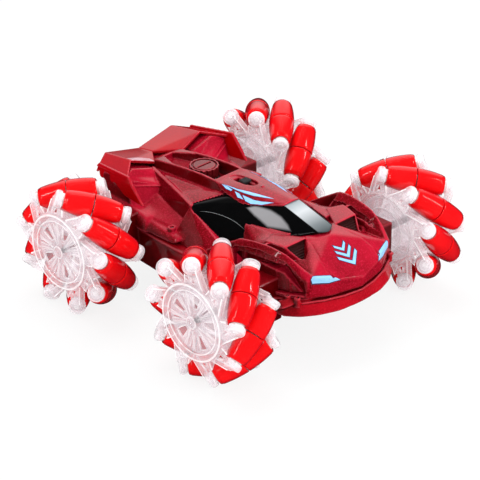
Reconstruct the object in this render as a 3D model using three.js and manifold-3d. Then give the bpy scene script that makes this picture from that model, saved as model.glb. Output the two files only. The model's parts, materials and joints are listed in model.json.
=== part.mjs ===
// Remote-control stunt car with four driven mecanum wheels.
// Millimetres, +Z up, ground at z = 0. The front of the car looks along -Y, its left side is +X.
import * as THREE from "three";
import { mergeVertices } from "three/addons/utils/BufferGeometryUtils.js";
import { ConvexGeometry } from "three/addons/geometries/ConvexGeometry.js";
import Module from "manifold-3d";

const wasm = await Module();
wasm.setup();

// ---------------------------------------------------------------- driving dimensions
const WHEEL_R = 47.5;          // rolling radius over the roller envelope
const WHEEL_X = 95.6;          // half of the track
const WHEEL_Y = 69.2;          // half of the wheelbase
const AXLE_R = 3;
const AXLE_IN = 33.6;          // axle end, inboard from the wheel's middle
const GAP = 0.35;              // gap between touching shells, and round the axle tip
const FIT_GAP = 0.4;           // gap round parts that sit in a pocket

const FLOOR_Z = 20;            // underside of the chassis tray
const FLOOR_THICK = 2.2;
const FLOOR_TOP = FLOOR_Z + FLOOR_THICK;
const TRAY_TOP = 49.2;         // parting line between tray and body shell
const BODY_BOTTOM = TRAY_TOP + FIT_GAP;

// moves the finished model so that the middle of its box's bottom is the origin
const ORIGIN_SHIFT = [0, 1.474, 0.406];

// side: 1 left, -1 right; end: 1 rear, -1 front
// phase: angle of the first roller in degrees, 0 = top, positive towards the rear
const WHEELS = [
  { id: "fl", side: 1, end: -1, phase: 23.7 },
  { id: "fr", side: -1, end: -1, phase: 28.3 },
  { id: "rl", side: 1, end: 1, phase: 19.0 },
  { id: "rr", side: -1, end: 1, phase: 16.7 },
];

// ---------------------------------------------------------------- materials
const material = ({ color, roughness, metalness = 0, opacity = 1 }) =>
  new THREE.MeshStandardMaterial({
    color, roughness, metalness, opacity, transparent: opacity < 1,
  });
const MATERIALS = {
  roller: material({ color: 0xf01212, roughness: 0.18 }),
  clear: material({ color: 0xf1e6e8, roughness: 0.12, opacity: 0.45 }),
  shell: material({ color: 0xa01020, roughness: 0.25 }),
  tray: material({ color: 0x7c0a16, roughness: 0.3 }),
  canopy: material({ color: 0x060607, roughness: 0.08 }),
  wing: material({ color: 0xb01826, roughness: 0.25 }),
  grey: material({ color: 0x55585c, roughness: 0.5, metalness: 0.2 }),
  cell: material({ color: 0x2e62b0, roughness: 0.4 }),
  board: material({ color: 0x1d6b3a, roughness: 0.5 }),
  cap: material({ color: 0xc23a48, roughness: 0.25 }),
  tank: material({ color: 0xd8c8ca, roughness: 0.2, opacity: 0.5 }),
  knob: material({ color: 0x1a1a1c, roughness: 0.45 }),
  steel: material({ color: 0xb5b8bc, roughness: 0.3, metalness: 0.9 }),
};

// ---------------------------------------------------------------- solids helpers
function toManifold(source) {
  const bare = source.clone();
  bare.deleteAttribute("normal");
  bare.deleteAttribute("uv");
  const merged = mergeVertices(bare, 1e-4);
  return new wasm.Manifold(new wasm.Mesh({
    numProp: 3,
    vertProperties: new Float32Array(merged.attributes.position.array),
    triVerts: new Uint32Array(merged.index.array),
  }));
}

function toGeometry(solid) {
  const mesh = solid.getMesh();
  const geometry = new THREE.BufferGeometry();
  const positions = new Float32Array(mesh.vertProperties);
  geometry.setAttribute("position", new THREE.BufferAttribute(positions, 3));
  geometry.setIndex(new THREE.BufferAttribute(new Uint32Array(mesh.triVerts), 1));
  geometry.computeVertexNormals();
  return geometry;
}

const vector = (point) => new THREE.Vector3(...point);
const union = (solids) => solids.reduce((a, b) => a.add(b));
const cut = (solid, cutters) => cutters.reduce((a, b) => a.subtract(b), solid);
const largestPart = (solid) => solid.decompose().sort((a, b) => b.volume() - a.volume())[0];

const mirror = (points) => points.map(([x, y, z]) => [-x, y, z]);
// points, their mirror images in x, then points on the centre line
const symmetric = (points, centre = []) => [...points, ...mirror(points), ...centre];
const withCopy = (points, dx, dy, dz) =>
  points.concat(points.map(([x, y, z]) => [x + dx, y + dy, z + dz]));

// convex block through points; a gap swells it, to cut clearance into a neighbour
const SWELL = 1.7;             // reach of a swollen corner along each axis, per unit of gap
function hull(points, gap = 0) {
  const cloud = [];
  for (const point of points) {
    cloud.push(vector(point));
    if (gap === 0) continue;
    for (const axis of [0, 1, 2]) {
      for (const sign of [1, -1]) {
        cloud.push(vector(point).setComponent(axis, point[axis] + sign * gap * SWELL));
      }
    }
  }
  return toManifold(new ConvexGeometry(cloud));
}
const hullPair = (points, gap) => [hull(points, gap), hull(mirror(points), gap)];

function box(x0, x1, y0, y1, z0, z1) {
  const geometry = new THREE.BoxGeometry(x1 - x0, y1 - y0, z1 - z0);
  geometry.translate((x0 + x1) / 2, (y0 + y1) / 2, (z0 + z1) / 2);
  return toManifold(geometry);
}

// cylinder between two points
function rod(from, to, radius, segments = 16) {
  const start = vector(from);
  const end = vector(to);
  const length = start.distanceTo(end);
  const direction = end.clone().sub(start).normalize();
  const geometry = new THREE.CylinderGeometry(radius, radius, length, segments);
  geometry.applyQuaternion(
    new THREE.Quaternion().setFromUnitVectors(new THREE.Vector3(0, 1, 0), direction));
  const middle = start.add(end).multiplyScalar(0.5);
  geometry.translate(middle.x, middle.y, middle.z);
  return toManifold(geometry);
}
// upright cylinder
const post = ([x, y], z0, z1, radius, segments) => rod([x, y, z0], [x, y, z1], radius, segments);

// upright prism over an outline of [x, y]
function prism(outline, z0, z1) {
  const shape = new THREE.Shape(outline.map(([x, y]) => new THREE.Vector2(x, y)));
  const geometry = new THREE.ExtrudeGeometry(shape, { depth: z1 - z0, bevelEnabled: false });
  geometry.translate(0, 0, z0);
  return toManifold(geometry);
}

// profile of [radius, distance along +Y], listed towards +Y on its outside
const lathe = (profile, segments) =>
  new THREE.LatheGeometry(profile.map(([r, y]) => new THREE.Vector2(r, y)), segments);

// box level with a wheel, between two distances from the car's middle
function wheelBox({ side, end }, xIn, xOut, halfY, z0, z1) {
  const [x0, x1] = side > 0 ? [xIn, xOut] : [-xOut, -xIn];
  const y = end * WHEEL_Y;
  return box(x0, x1, y - halfY, y + halfY, z0, z1);
}
// cylinder on a wheel's axle line
function wheelRod({ side, end }, xIn, xOut, radius) {
  const y = end * WHEEL_Y;
  return rod([side * xIn, y, WHEEL_R], [side * xOut, y, WHEEL_R], radius);
}

const car = new THREE.Group();
function addMesh(parent, name, geometry, meshMaterial) {
  const mesh = new THREE.Mesh(geometry, meshMaterial);
  mesh.name = name;
  parent.add(mesh);
  return mesh;
}
const put = (name, solid, meshMaterial) => addMesh(car, name, toGeometry(solid), meshMaterial);

// ---------------------------------------------------------------- wheels
// Local wheel frame: +X is the car's left, angle 0 is up and grows towards the rear (+Y).
const ROLLERS = 9;             // rollers per wheel
const ROLLER_TILT = Math.PI / 4;
const ROLLER_RING_R = 37.9;    // radius at which roller axes sit
const ROLLER_HALF = 21.7;      // half length of the coloured barrel
const BARREL_MID = 11.5;       // profile station between a barrel's middle and its end
const ROLLER_SEGMENTS = 8;
const PIN_R = 2;
const PIN_HALF = 26.8;         // half length over the pins
const PIN_CLEARANCE = 0.3;
const LOBE_START = 22.1;       // ends of a lobe along the roller axis
const LOBE_END = 27.4;
const LOBE_R = 6;
const LOBE_SIDES = 6;
const LOBE_HOLE_EXTRA = 3;     // hole cutter beyond each lobe face
const FOOT_R = 26.6;           // radius at which a lobe's arm meets the drum
// arm foot: [degrees round from the roller, distance from the wheel's middle plane]
const LOBE_FOOT = [[26.5, 19.9], [36, 19.9], [31.5, 17.9]];

const HUB_SEGMENTS = 18;
const HUB_HALF = 20.2;         // half of the hub width
const DRUM_R = 27.6;
const DRUM_WALL = 3;
const DRUM_INNER_R = DRUM_R - DRUM_WALL;
const DRUM_SEAM = 0.2;         // half of the seam between the two drum halves
const WEB = HUB_HALF - DRUM_WALL;  // inner face of the end disc
const BOSS_R = 6.5;
const BOSS_OUTER_END = 5;
const BOSS_INNER_END = -3.5;
const AXLE_TIP = 14;
const AXLE_BORE_END = 16;

// hub profiles: [radius, outboard distance from the wheel's middle plane]
const HUB_OUTER = [
  [0, AXLE_BORE_END], [AXLE_R + GAP, AXLE_BORE_END], [AXLE_R + GAP, BOSS_OUTER_END],
  [BOSS_R, BOSS_OUTER_END], [BOSS_R, WEB], [DRUM_INNER_R, WEB],
  [DRUM_INNER_R, DRUM_SEAM], [DRUM_R, DRUM_SEAM], [DRUM_R, HUB_HALF], [0, HUB_HALF],
];
const HUB_INNER = [
  [0, -AXLE_IN], [AXLE_R, -AXLE_IN], [AXLE_R, -HUB_HALF],
  [DRUM_R, -HUB_HALF], [DRUM_R, -DRUM_SEAM], [DRUM_INNER_R, -DRUM_SEAM],
  [DRUM_INNER_R, -WEB], [BOSS_R, -WEB], [BOSS_R, BOSS_INNER_END],
  [AXLE_R, BOSS_INNER_END], [AXLE_R, AXLE_TIP], [0, AXLE_TIP],
];

// The rollers' lean alternates from wheel to wheel round the car.
const leanOf = ({ side, end }) => side * end;
const radial = (angle) => new THREE.Vector3(0, Math.sin(angle), Math.cos(angle));
const tangent = (angle) => new THREE.Vector3(0, Math.cos(angle), -Math.sin(angle));

// angle round the wheel, middle point and outboard-pointing axis of a roller
function rollerPlace(wheel, index) {
  const angle = THREE.MathUtils.degToRad(wheel.phase + (360 / ROLLERS) * index);
  const centre = radial(angle).multiplyScalar(ROLLER_RING_R);
  const axis = new THREE.Vector3(Math.cos(ROLLER_TILT), 0, 0)
    .addScaledVector(tangent(angle), leanOf(wheel) * Math.sin(ROLLER_TILT))
    .multiplyScalar(wheel.side);
  return { angle, centre, axis };
}

// barrel that fills the wheel's rolling envelope, with a pin at each end
function rollerGeometry() {
  const barrelRadius = (t) =>
    Math.sqrt(WHEEL_R ** 2 - (t * Math.sin(ROLLER_TILT)) ** 2) - ROLLER_RING_R;
  const stations = [-ROLLER_HALF, -BARREL_MID, 0, BARREL_MID, ROLLER_HALF];
  return lathe([
    [0, -PIN_HALF], [PIN_R, -PIN_HALF], [PIN_R, -ROLLER_HALF],
    ...stations.map((t) => [barrelRadius(t), t]),
    [PIN_R, ROLLER_HALF], [PIN_R, PIN_HALF], [0, PIN_HALF],
  ], ROLLER_SEGMENTS);
}

// arm and pin hole at one end of a roller; half: 1 outboard, -1 inboard
function lobe(wheel, index, half) {
  const { angle, centre, axis } = rollerPlace(wheel, index);
  const along = (t) => centre.clone().addScaledVector(axis, half * t);
  const turn = new THREE.Quaternion().setFromUnitVectors(new THREE.Vector3(0, 0, 1), axis);
  const points = [];
  for (const t of [LOBE_START, LOBE_END]) {
    for (let i = 0; i < LOBE_SIDES; i++) {
      const corner = (i + 0.5) * 2 * Math.PI / LOBE_SIDES;
      const offset = new THREE.Vector3(Math.cos(corner) * LOBE_R, Math.sin(corner) * LOBE_R, 0);
      points.push(along(t).add(offset.applyQuaternion(turn)).toArray());
    }
  }
  // which way round the wheel this end of the roller lies
  const swing = leanOf(wheel) * wheel.side * half;
  for (const [degrees, outward] of LOBE_FOOT) {
    const footAngle = angle + swing * THREE.MathUtils.degToRad(degrees);
    const foot = radial(footAngle).multiplyScalar(FOOT_R);
    points.push([half * wheel.side * outward, foot.y, foot.z]);
  }
  const holeStart = along(LOBE_START - LOBE_HOLE_EXTRA).toArray();
  const holeEnd = along(LOBE_END + LOBE_HOLE_EXTRA).toArray();
  return {
    solid: hull(points),
    // square hole whose flats clear the pin
    hole: rod(holeStart, holeEnd, (PIN_R + PIN_CLEARANCE) * Math.SQRT2, 4),
  };
}

function hubGeometry(wheel, profile, half) {
  const drum = lathe(profile, HUB_SEGMENTS);
  drum.rotateZ(-wheel.side * Math.PI / 2);   // the profile's +Y becomes outboard
  const lobes = [];
  for (let k = 0; k < ROLLERS; k++) lobes.push(lobe(wheel, k, half));
  const solid = union([toManifold(drum), ...lobes.map((item) => item.solid)]);
  return toGeometry(cut(solid, lobes.map((item) => item.hole)));
}

function addWheel(wheel) {
  const assembly = new THREE.Group();
  assembly.position.set(wheel.side * WHEEL_X, wheel.end * WHEEL_Y, WHEEL_R);
  car.add(assembly);
  const { clear, roller } = MATERIALS;
  addMesh(assembly, `hub_outer_${wheel.id}`, hubGeometry(wheel, HUB_OUTER, 1), clear);
  addMesh(assembly, `hub_inner_${wheel.id}`, hubGeometry(wheel, HUB_INNER, -1), clear);
  for (let k = 0; k < ROLLERS; k++) {
    const { centre, axis } = rollerPlace(wheel, k);
    const mesh = addMesh(assembly, `roller_${wheel.id}_${k + 1}`, rollerGeometry(), roller);
    mesh.position.copy(centre);
    mesh.quaternion.setFromUnitVectors(new THREE.Vector3(0, 1, 0), axis);
  }
}

// ---------------------------------------------------------------- gearmotors
// x values are distances from the car's middle; HY and HZ are half sizes about the axle
const GEARBOX_X0 = 40;
const GEARBOX_X1 = 66;
const GEARBOX_HY = 12;
const GEARBOX_HZ = 12.5;
const MOTOR_R = 10;
const MOTOR_X0 = 15;
const MOTOR_OVERLAP = 2;       // motor can's reach into the gearbox
const AXLE_BORE_X0 = WHEEL_X - AXLE_IN - 1.5;

function motorBlock(wheel, grow = 0) {
  const gearbox = wheelBox(wheel, GEARBOX_X0 - grow, GEARBOX_X1 + grow, GEARBOX_HY + grow,
    WHEEL_R - GEARBOX_HZ - grow, WHEEL_R + GEARBOX_HZ + grow);
  return gearbox.add(
    wheelRod(wheel, MOTOR_X0 - grow, GEARBOX_X0 + MOTOR_OVERLAP, MOTOR_R + grow));
}
const gearmotor = (wheel) => motorBlock(wheel)
  .subtract(wheelRod(wheel, AXLE_BORE_X0, GEARBOX_X1 + 3, AXLE_R + FIT_GAP));
const motorPockets = WHEELS.map((wheel) => motorBlock(wheel, FIT_GAP));

// Gearbox pods of the tray; the body shell is cut away over them.
const POD_X0 = GEARBOX_X0 + 4;
const POD_X1 = 69.4;
const POD_HY = 14.6;
const POD_Z0 = 32.2;
const POD_Z1 = 60.2;

// ---------------------------------------------------------------- canopy
// Windscreen and side windows in one moulding. All point tables here and below are [x, y, z].
const CANOPY = symmetric([
  [35, 18, 75.2], [17.5, -5, 84.2], [17, -18, 84.2], [27, -29, 76.3], [33.5, -35, 67.8],
  [41, -11, 59.5], [15, -72.5, 77.4], [7.7, -82.6, 81.2], [7.5, -50, 89.6], [30, 16, 62],
  [9, -5, 86.0],
], [[0, -86.9, 80.6], [0, -50, 90.3]]);

function canopy() {
  // the hollow is the outside shrunk about y = -28, and from z = 60 down to 58.6
  const hollow = CANOPY.map(([x, y, z]) =>
    [x * 0.915, (y + 28) * 0.93 - 28, (z - 60) * 0.9 + 58.6]);
  return largestPart(cut(hull(CANOPY), [
    hull(hollow),
    box(-60, 60, -100, 30, 40, 64.5),   // open underside
    box(-13, 13, -22, 40, 40, 100),     // middle strip under the roof, open to the rear
  ]));
}

// ---------------------------------------------------------------- body shell
// Blocks across the middle of the car
const NOSE = symmetric([
  [13.8, -78, 78.3], [27.6, -91.4, 66.5], [20, -115.8, 62.2], [37, -106.9, 67.6],
  [38.8, -107, 64.9], [40, -104.5, BODY_BOTTOM], [25, -113, BODY_BOTTOM], [42, -78, 60],
  [42, -78, BODY_BOTTOM], [30, -60, 70], [38, -52, BODY_BOTTOM],
], [[0, -86.9, 79.2], [0, -120, 58], [0, -118.6, BODY_BOTTOM], [0, -60, 78]]);
const ROOF = symmetric([
  [7.7, -50.2, 90.6], [14.4, 6.7, 89], [14.6, 13.4, 88.1], [7.7, -48, 89.2], [16.5, 6.7, 86],
  [12, -20, 90.2],
], [[0, -50.6, 92.4], [0, -20, 92]]);
const ROOF_BASE = symmetric([
  [14.4, 6.7, 89], [14.6, 13.4, 88.1], [14, 27, 89], [14, 48.6, 86.8], [14, 70, 82.9],
  [14, 88.7, 76.3], [18, 0, 80], [20, 74, 78.8], [28, 41, 76], [35, 18, 75.4], [33, 18, 66],
  [30, 90, 62],
], [[0, 96, 74]]);
const TAIL = symmetric([
  [33, 108, 71], [20, 74, 78.8], [28, 41, 76], [35, 18, 75.4], [45, 96, 66], [46, 44, 60],
  [42, 20, 58], [48, 96, BODY_BOTTOM], [48, 42, BODY_BOTTOM], [38, 16, BODY_BOTTOM],
  [34, 111, BODY_BOTTOM + 4],
], [[0, 111.5, 72]]);

// Blocks of the left side, repeated on the right
const NOSE_BLOCK = [
  [13.8, -77.9, 78.6], [35.7, -78, 78.5], [39.4, -62.3, 79.2], [26.7, -57.5, 78.5],
  [27.6, -91.4, 66.5], [14, -77, 62], [38, -78, 62], [40, -60, 62], [27, -55, 62],
];
const FENDER_TOP = [
  [53.8, -44.5, 77.3], [49.8, -48.3, 80], [49.4, -57.9, 82], [48, -66.4, 82.7],
  [46.5, -74.4, 82.4], [45.3, -82.8, 81.4], [43.5, -90.5, 79], [41, -50, 74], [39, -70, 76],
  [37, -86, 72], [53.5, -60, 74], [52, -80, 72.5], [48, -92, 70], [54.5, -42, 68],
  [40, -44, 66], [37, -88, 66],
];
const FENDER_FRONT = [
  [45.3, -82.8, 81.4], [43.5, -90.5, 79], [42.8, -97.1, 74.7], [42.1, -102.2, 69.5],
  [42.1, -105.7, 64.4], [48, -92, 70], [37, -106.9, 67.6], [34, -90, 66],
  [40, -104.5, BODY_BOTTOM + 4], [44, -98, 60], [36, -84, 60],
];
const DOOR = [
  [54.5, -42, 68], [53.8, -44.5, 77.3], [41, -50, 74], [33.5, -35, 67.8], [27, -29, 75],
  [30, -55, 74], [41, -11, 59.5], [50, -14, 62], [52, -10, 52], [40, -8, 52], [52, -50, 56],
  [30, -55, 56],
];
const SIDE = [
  [50, -14, 62], [52, -10, BODY_BOTTOM], [38, -12, BODY_BOTTOM], [41, -11, 59.5],
  [35, 18, 74.2], [34, 18, BODY_BOTTOM], [46, 20, BODY_BOTTOM], [42, 22, 62], [52, -55, 56],
  [52, -55, BODY_BOTTOM], [38, -55, BODY_BOTTOM],
];

// Left half of each hollow in the underside: nose, middle, tail, under the roof
const CAVITIES = [
  [[34, -52, 40], [34, -88, 40], [30, -88, 58], [30, -56, 66], [10, -76, 66], [24, -105, 40],
    [22, -106, 54]],
  [[36, -60, 40], [36, 14, 40], [30, -50, 62], [29, 14, 68], [8, -40, 78], [8, 8, 84]],
  [[31, 10, 40], [42, 92, 40], [42, 46, 50], [38, 92, 58], [28, 14, 68], [22, 80, 70],
    [10, 14, 73], [11, 84, 72]],
  [[12, -2, 66], [12, -2, 83], [9.5, 8, 85], [12, 12, 72], [9, -30, 76]],
];

// rear-deck well that the filler cap stands in, [x, y]
const WELL_OUTLINE = [[12.3, 16], [11.6, 86], [-11.6, 86], [-12.3, 16]];
const WELL_FLOOR_Z = 77.2;
const CAP_CENTRE = [0, 40];
const NECK_R = 8.8;            // tank neck below the cap
const SWITCH_STEM_HX = 1.9;

function bodyShell() {
  const blocks = union([
    ...[NOSE, ROOF, ROOF_BASE, TAIL].map((points) => hull(points)),
    ...[NOSE_BLOCK, FENDER_TOP, FENDER_FRONT, DOOR, SIDE].flatMap((points) => hullPair(points)),
  ]);
  const stemSlotHX = SWITCH_STEM_HX + FIT_GAP;
  return largestPart(cut(blocks, [
    hull(CANOPY, GAP),
    ...CAVITIES.map((points) => hull(symmetric(points))),
    prism(WELL_OUTLINE, WELL_FLOOR_Z, 100),
    post(CAP_CENTRE, 60, 90, NECK_R + FIT_GAP, 20),
    // switch recess in the roof, then the slot for its stem
    box(-4.6, 4.6, -13, 10.5, 88.2, 100),
    box(-stemSlotHX, stemSlotHX, -11.5, 7, 70, 100),
    ...WHEELS.map((wheel) =>
      wheelBox(wheel, GEARBOX_X0 - 1, POD_X1 + 1, POD_HY + 0.5, 30, POD_Z1 + 0.5)),
    ...motorPockets,
  ]));
}

// ---------------------------------------------------------------- rear wing
// Left half; the right half is its mirror image.
const WING_THICK = 2.4;
const WING_OUTBOARD = [[34.7, 81, 88.5], [33.2, 111.5, 83.6], [51.6, 66, 84.5], [46.6, 104, 80]];
const WING_INBOARD = [
  [34.7, 81, 88.5], [33.2, 111.5, 83.6], [14.2, 78, 81.6], [0, 112, 75.6], [0, 96, 78.6],
];
// section shared by the two lengths of the rear lip
const LIP_JOINT = [[33.2, 111.5, 83.6], [33.8, 115.6, 74.6], [33.2, 109, 81], [33.4, 113, 74.6]];
const LIP_INBOARD = [
  ...LIP_JOINT, [0, 112.6, 75.6], [0, 113.4, 71], [0, 110.6, 71], [0, 110, 75],
];
const LIP_OUTBOARD = [
  ...LIP_JOINT, [46.6, 104.2, 80.4], [46.9, 106.4, 74.6], [45.6, 102, 78], [46, 104, 74.6],
];
const END_PLATE = [
  [53.1, 64.2, 87.3], [46.9, 103.9, 82.3], [54, 59.9, 81.4], [53.3, 48.4, 68.8],
  [50, 74, 68.2], [47.4, 102, 72.4],
];

function rearWing() {
  const blocks = [
    withCopy(WING_OUTBOARD, 0, 0, -WING_THICK),
    withCopy(WING_INBOARD, 0, 0, -WING_THICK),
    LIP_INBOARD,
    LIP_OUTBOARD,
    withCopy(END_PLATE, -2.2, -0.3, 0),
  ];
  return largestPart(cut(union(blocks.flatMap((points) => hullPair(points))), [
    hull(ROOF_BASE, GAP),
    hull(TAIL, GAP),
    prism(WELL_OUTLINE, 60, 100),
  ]));
}

// ---------------------------------------------------------------- chassis tray
const FLOOR_FRONT_RISE = 3;
const TUB_OUTSIDE = [
  ...symmetric([
    [52, -70, FLOOR_Z], [53.5, 20, FLOOR_Z], [48, 84, FLOOR_Z], [30, 92, FLOOR_Z],
    [38, -84, FLOOR_Z + FLOOR_FRONT_RISE], [40, -102, 36.5],
  ]),
  ...symmetric([
    [55, -86, TRAY_TOP], [56, 20, TRAY_TOP], [50, 98, TRAY_TOP], [34, 108, TRAY_TOP],
    [40, -104.5, TRAY_TOP],
  ]),
];
const TUB_INSIDE = [
  ...symmetric([
    [50, -68, FLOOR_TOP], [51.3, 20, FLOOR_TOP], [46, 82, FLOOR_TOP], [29, 90, FLOOR_TOP],
    [38, -80, FLOOR_TOP + FLOOR_FRONT_RISE], [37, -99, 38.8],
  ]),
  ...symmetric([[52.6, -85, 70], [53.6, 20, 70], [47.8, 96, 70], [33, 105.6, 70],
    [38.5, -101.5, 70]]),
];
// bumper: top edge, bottom edge, back corners
const BUMPER = [
  ...symmetric([[15, -115.6, 47.2], [30, -110.6, 47.2], [44.6, -102.4, 47.2], [52, -94, 47.2]],
    [[0, -118, 47.2]]),
  ...symmetric([[21.1, -117.7, 38], [35.4, -112.4, 38], [47.1, -104.7, 38], [55.5, -94.6, 38],
    [57.4, -90, 40]], [[0, -119.4, 38]]),
  ...symmetric([[54, -84, 38.5], [54, -84, 47.2]]),
];
// upright ear at the left end of the bumper
const BUMPER_EAR = [
  [57.5, -99, 46], [44, -103.4, 52.4], [58, -94, 44], [55, -92, 55.5], [44, -97, 55.5],
  [44, -92, 40], [57, -90, 42],
];
const BATTERY_OPENING = { halfX: 17, y0: -27, y1: 31 };

function chassisTray() {
  const solid = union([
    hull(TUB_OUTSIDE),
    hull(BUMPER),
    ...hullPair(BUMPER_EAR),
    ...WHEELS.map((wheel) => wheelBox(wheel, POD_X0, POD_X1, POD_HY, POD_Z0, POD_Z1)),
  ]);
  const { halfX, y0, y1 } = BATTERY_OPENING;
  return largestPart(cut(solid, [
    hull(TUB_INSIDE),
    ...motorPockets,
    // gearbox pockets open upwards, and axle holes through the pod walls
    ...WHEELS.flatMap((wheel) => [
      wheelBox(wheel, GEARBOX_X0 - 1, GEARBOX_X1 + FIT_GAP, GEARBOX_HY + FIT_GAP,
        WHEEL_R - GEARBOX_HZ - FIT_GAP, 80),
      wheelRod(wheel, 60, 75, 5.2),
    ]),
    box(-halfX, halfX, y0, y1, 10, FLOOR_TOP + 1),
    // clearance to the body shell
    hull(NOSE, GAP),
    ...hullPair(FENDER_FRONT, GAP),
    hull(TAIL, GAP),
    ...hullPair(SIDE, GAP),
    ...hullPair(DOOR, GAP),
  ]));
}

// ---------------------------------------------------------------- battery, door and screw
const SCREW_Y = 25;
const SCREW_CENTRE = [0, SCREW_Y];
const SCREW_SLOT = { halfLength: 1.5, halfWidth: 0.35 };
// left half
const BATTERY = [
  [14.5, -24, 24], [14.5, 19.5, 24], [14.5, -24, 38], [14.5, 19.5, 38],
  [11.5, -24, 41], [11.5, 19.5, 41],
];

function batteryDoor() {
  const { y0, y1 } = BATTERY_OPENING;
  const halfX = BATTERY_OPENING.halfX - FIT_GAP;
  return box(-halfX, halfX, y0 + FIT_GAP, y1 - FIT_GAP, FLOOR_Z, FLOOR_Z + 2)
    .add(post(SCREW_CENTRE, FLOOR_Z + 0.5, FLOOR_Z + 4.4, 4.2))
    .subtract(post(SCREW_CENTRE, FLOOR_Z - 2, FLOOR_Z + 2.3, 2.9))        // head recess
    .subtract(post(SCREW_CENTRE, FLOOR_Z - 2, FLOOR_Z + 8, 1.65, 12));    // shank hole
}

function batteryDoorScrew() {
  const { halfLength, halfWidth } = SCREW_SLOT;
  const slot = (halfX, halfY) =>
    box(-halfX, halfX, SCREW_Y - halfY, SCREW_Y + halfY, FLOOR_Z - 1, FLOOR_Z + 1.2);
  return post(SCREW_CENTRE, FLOOR_Z + 0.4, FLOOR_Z + 2, 2.55)
    .add(post(SCREW_CENTRE, FLOOR_Z + 1.5, FLOOR_Z + 8.2, 1.3, 12))
    .subtract(slot(halfLength, halfWidth))
    .subtract(slot(halfWidth, halfLength));
}

// ---------------------------------------------------------------- other inside pieces
// board over the battery, with the parts that stand on it
const circuitBoard = () => union([
  box(-24, 24, -46, 10, 46.4, 48),
  box(-8, 8, -30, -14, 47.5, 51),
  box(10, 20, -10, 4, 47.5, 53),
  post([-16, -4], 47.5, 56, 3.2, 12),
  box(-22, -12, -42, -34, 47.5, 52),
]);

const speaker = () => post([0, -80], 43, 47.5, 13, 20).add(post([0, -80], 46.5, 52, 8, 20));

// tank below the filler cap, with an open neck
const TANK = { halfX: 15.5, y0: 24, y1: 62, z0: 60.5, z1: 71.2, wall: 1.5 };
function waterTank() {
  const { halfX, y0, y1, z0, z1, wall } = TANK;
  const shell = (inset) => box(inset - halfX, halfX - inset, y0 + inset, y1 - inset,
    z0 + inset, z1 - inset);
  return shell(0)
    .subtract(shell(wall))
    .add(post(CAP_CENTRE, 70.5, 79, NECK_R, 20))
    .subtract(post(CAP_CENTRE, 66, 90, 6.6, 20));
}

// disc with a plug below and a groove across its top
function fillerCap() {
  const y = CAP_CENTRE[1];
  return post(CAP_CENTRE, 79.6, 88.2, 10.9, 24)
    .add(post(CAP_CENTRE, 74, 80, 6.1, 20))
    .subtract(box(-8, 8, y - 0.8, y + 0.8, 87, 92));
}

const powerSwitch = () => box(-4, 4, -5.6, 0.6, 88.6, 91.4)
  .add(box(-SWITCH_STEM_HX, SWITCH_STEM_HX, -4.4, -0.6, 80.5, 89));

// ---------------------------------------------------------------- assembly
WHEELS.forEach(addWheel);
for (const wheel of WHEELS) put(`gearmotor_${wheel.id}`, gearmotor(wheel), MATERIALS.grey);
put("body_shell", bodyShell(), MATERIALS.shell);
put("canopy", canopy(), MATERIALS.canopy);
put("rear_wing", rearWing(), MATERIALS.wing);
put("chassis_tray", chassisTray(), MATERIALS.tray);
put("battery_door", batteryDoor(), MATERIALS.tray);
put("battery_door_screw", batteryDoorScrew(), MATERIALS.steel);
put("battery_pack", hull(symmetric(BATTERY)), MATERIALS.cell);
put("circuit_board", circuitBoard(), MATERIALS.board);
put("speaker", speaker(), MATERIALS.knob);
put("water_tank", waterTank(), MATERIALS.tank);
put("filler_cap", fillerCap(), MATERIALS.cap);
put("power_switch", powerSwitch(), MATERIALS.knob);

car.position.set(...ORIGIN_SHIFT);
export default car;
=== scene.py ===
# A toy car on four wheels of slanted rollers, with a black canopy, rear wing and filler cap.
# The nose points along -Y, the car's left side is +X and +Z is up.
# Design coordinates are millimetres from the floor point midway between the four wheels.
import json
import math
import bpy
import bmesh
import numpy as np
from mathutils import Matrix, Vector
from mathutils.bvhtree import BVHTree


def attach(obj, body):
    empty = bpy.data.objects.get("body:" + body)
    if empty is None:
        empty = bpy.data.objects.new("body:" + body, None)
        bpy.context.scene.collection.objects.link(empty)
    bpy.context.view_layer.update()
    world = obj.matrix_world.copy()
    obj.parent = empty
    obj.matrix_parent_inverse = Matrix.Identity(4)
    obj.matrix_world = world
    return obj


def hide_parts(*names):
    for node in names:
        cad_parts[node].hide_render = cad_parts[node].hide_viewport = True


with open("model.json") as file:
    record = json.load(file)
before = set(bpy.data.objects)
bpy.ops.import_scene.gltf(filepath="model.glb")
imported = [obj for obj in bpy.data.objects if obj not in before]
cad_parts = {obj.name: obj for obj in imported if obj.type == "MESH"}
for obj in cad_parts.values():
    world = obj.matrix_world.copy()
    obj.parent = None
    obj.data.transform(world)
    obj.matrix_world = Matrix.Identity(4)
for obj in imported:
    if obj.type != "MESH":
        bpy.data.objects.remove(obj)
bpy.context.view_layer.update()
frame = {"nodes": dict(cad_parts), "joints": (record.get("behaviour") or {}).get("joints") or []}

# ------------------------------------------------------------------ driving sizes
WHEEL_X, WHEEL_Y, WHEEL_R = 95.6, 69.2, 47.5
# name, side (+1 left), end (-1 front), lean of the rollers, angle of the first roller in degrees
WHEELS = [
    ("fl", 1, -1, -1, 23.7),
    ("fr", -1, -1, 1, 28.3),
    ("rl", 1, 1, 1, 19.0),
    ("rr", -1, 1, -1, 16.7),
]
SIDES = ((1, "l"), (-1, "r"))
ROLLERS = 9
ROLLER_RING_R = 37.9                # wheel axis to the middle of a roller
SECTOR_DEG = 360 / ROLLERS
DIAGONAL = math.sqrt(0.5)           # the rollers lie at 45 degrees to the wheel axis
SLEEVE_END = 21.3                   # from a roller's middle to the end of its red sleeve
LOBE_START, LOBE_END = 22.7, 27.4   # hub lobe around a roller's end, from the roller's middle
LOBE_DEG = 31.0                     # angle between a roller's middle and its lobe
HUB_SPOKES = 5

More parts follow.
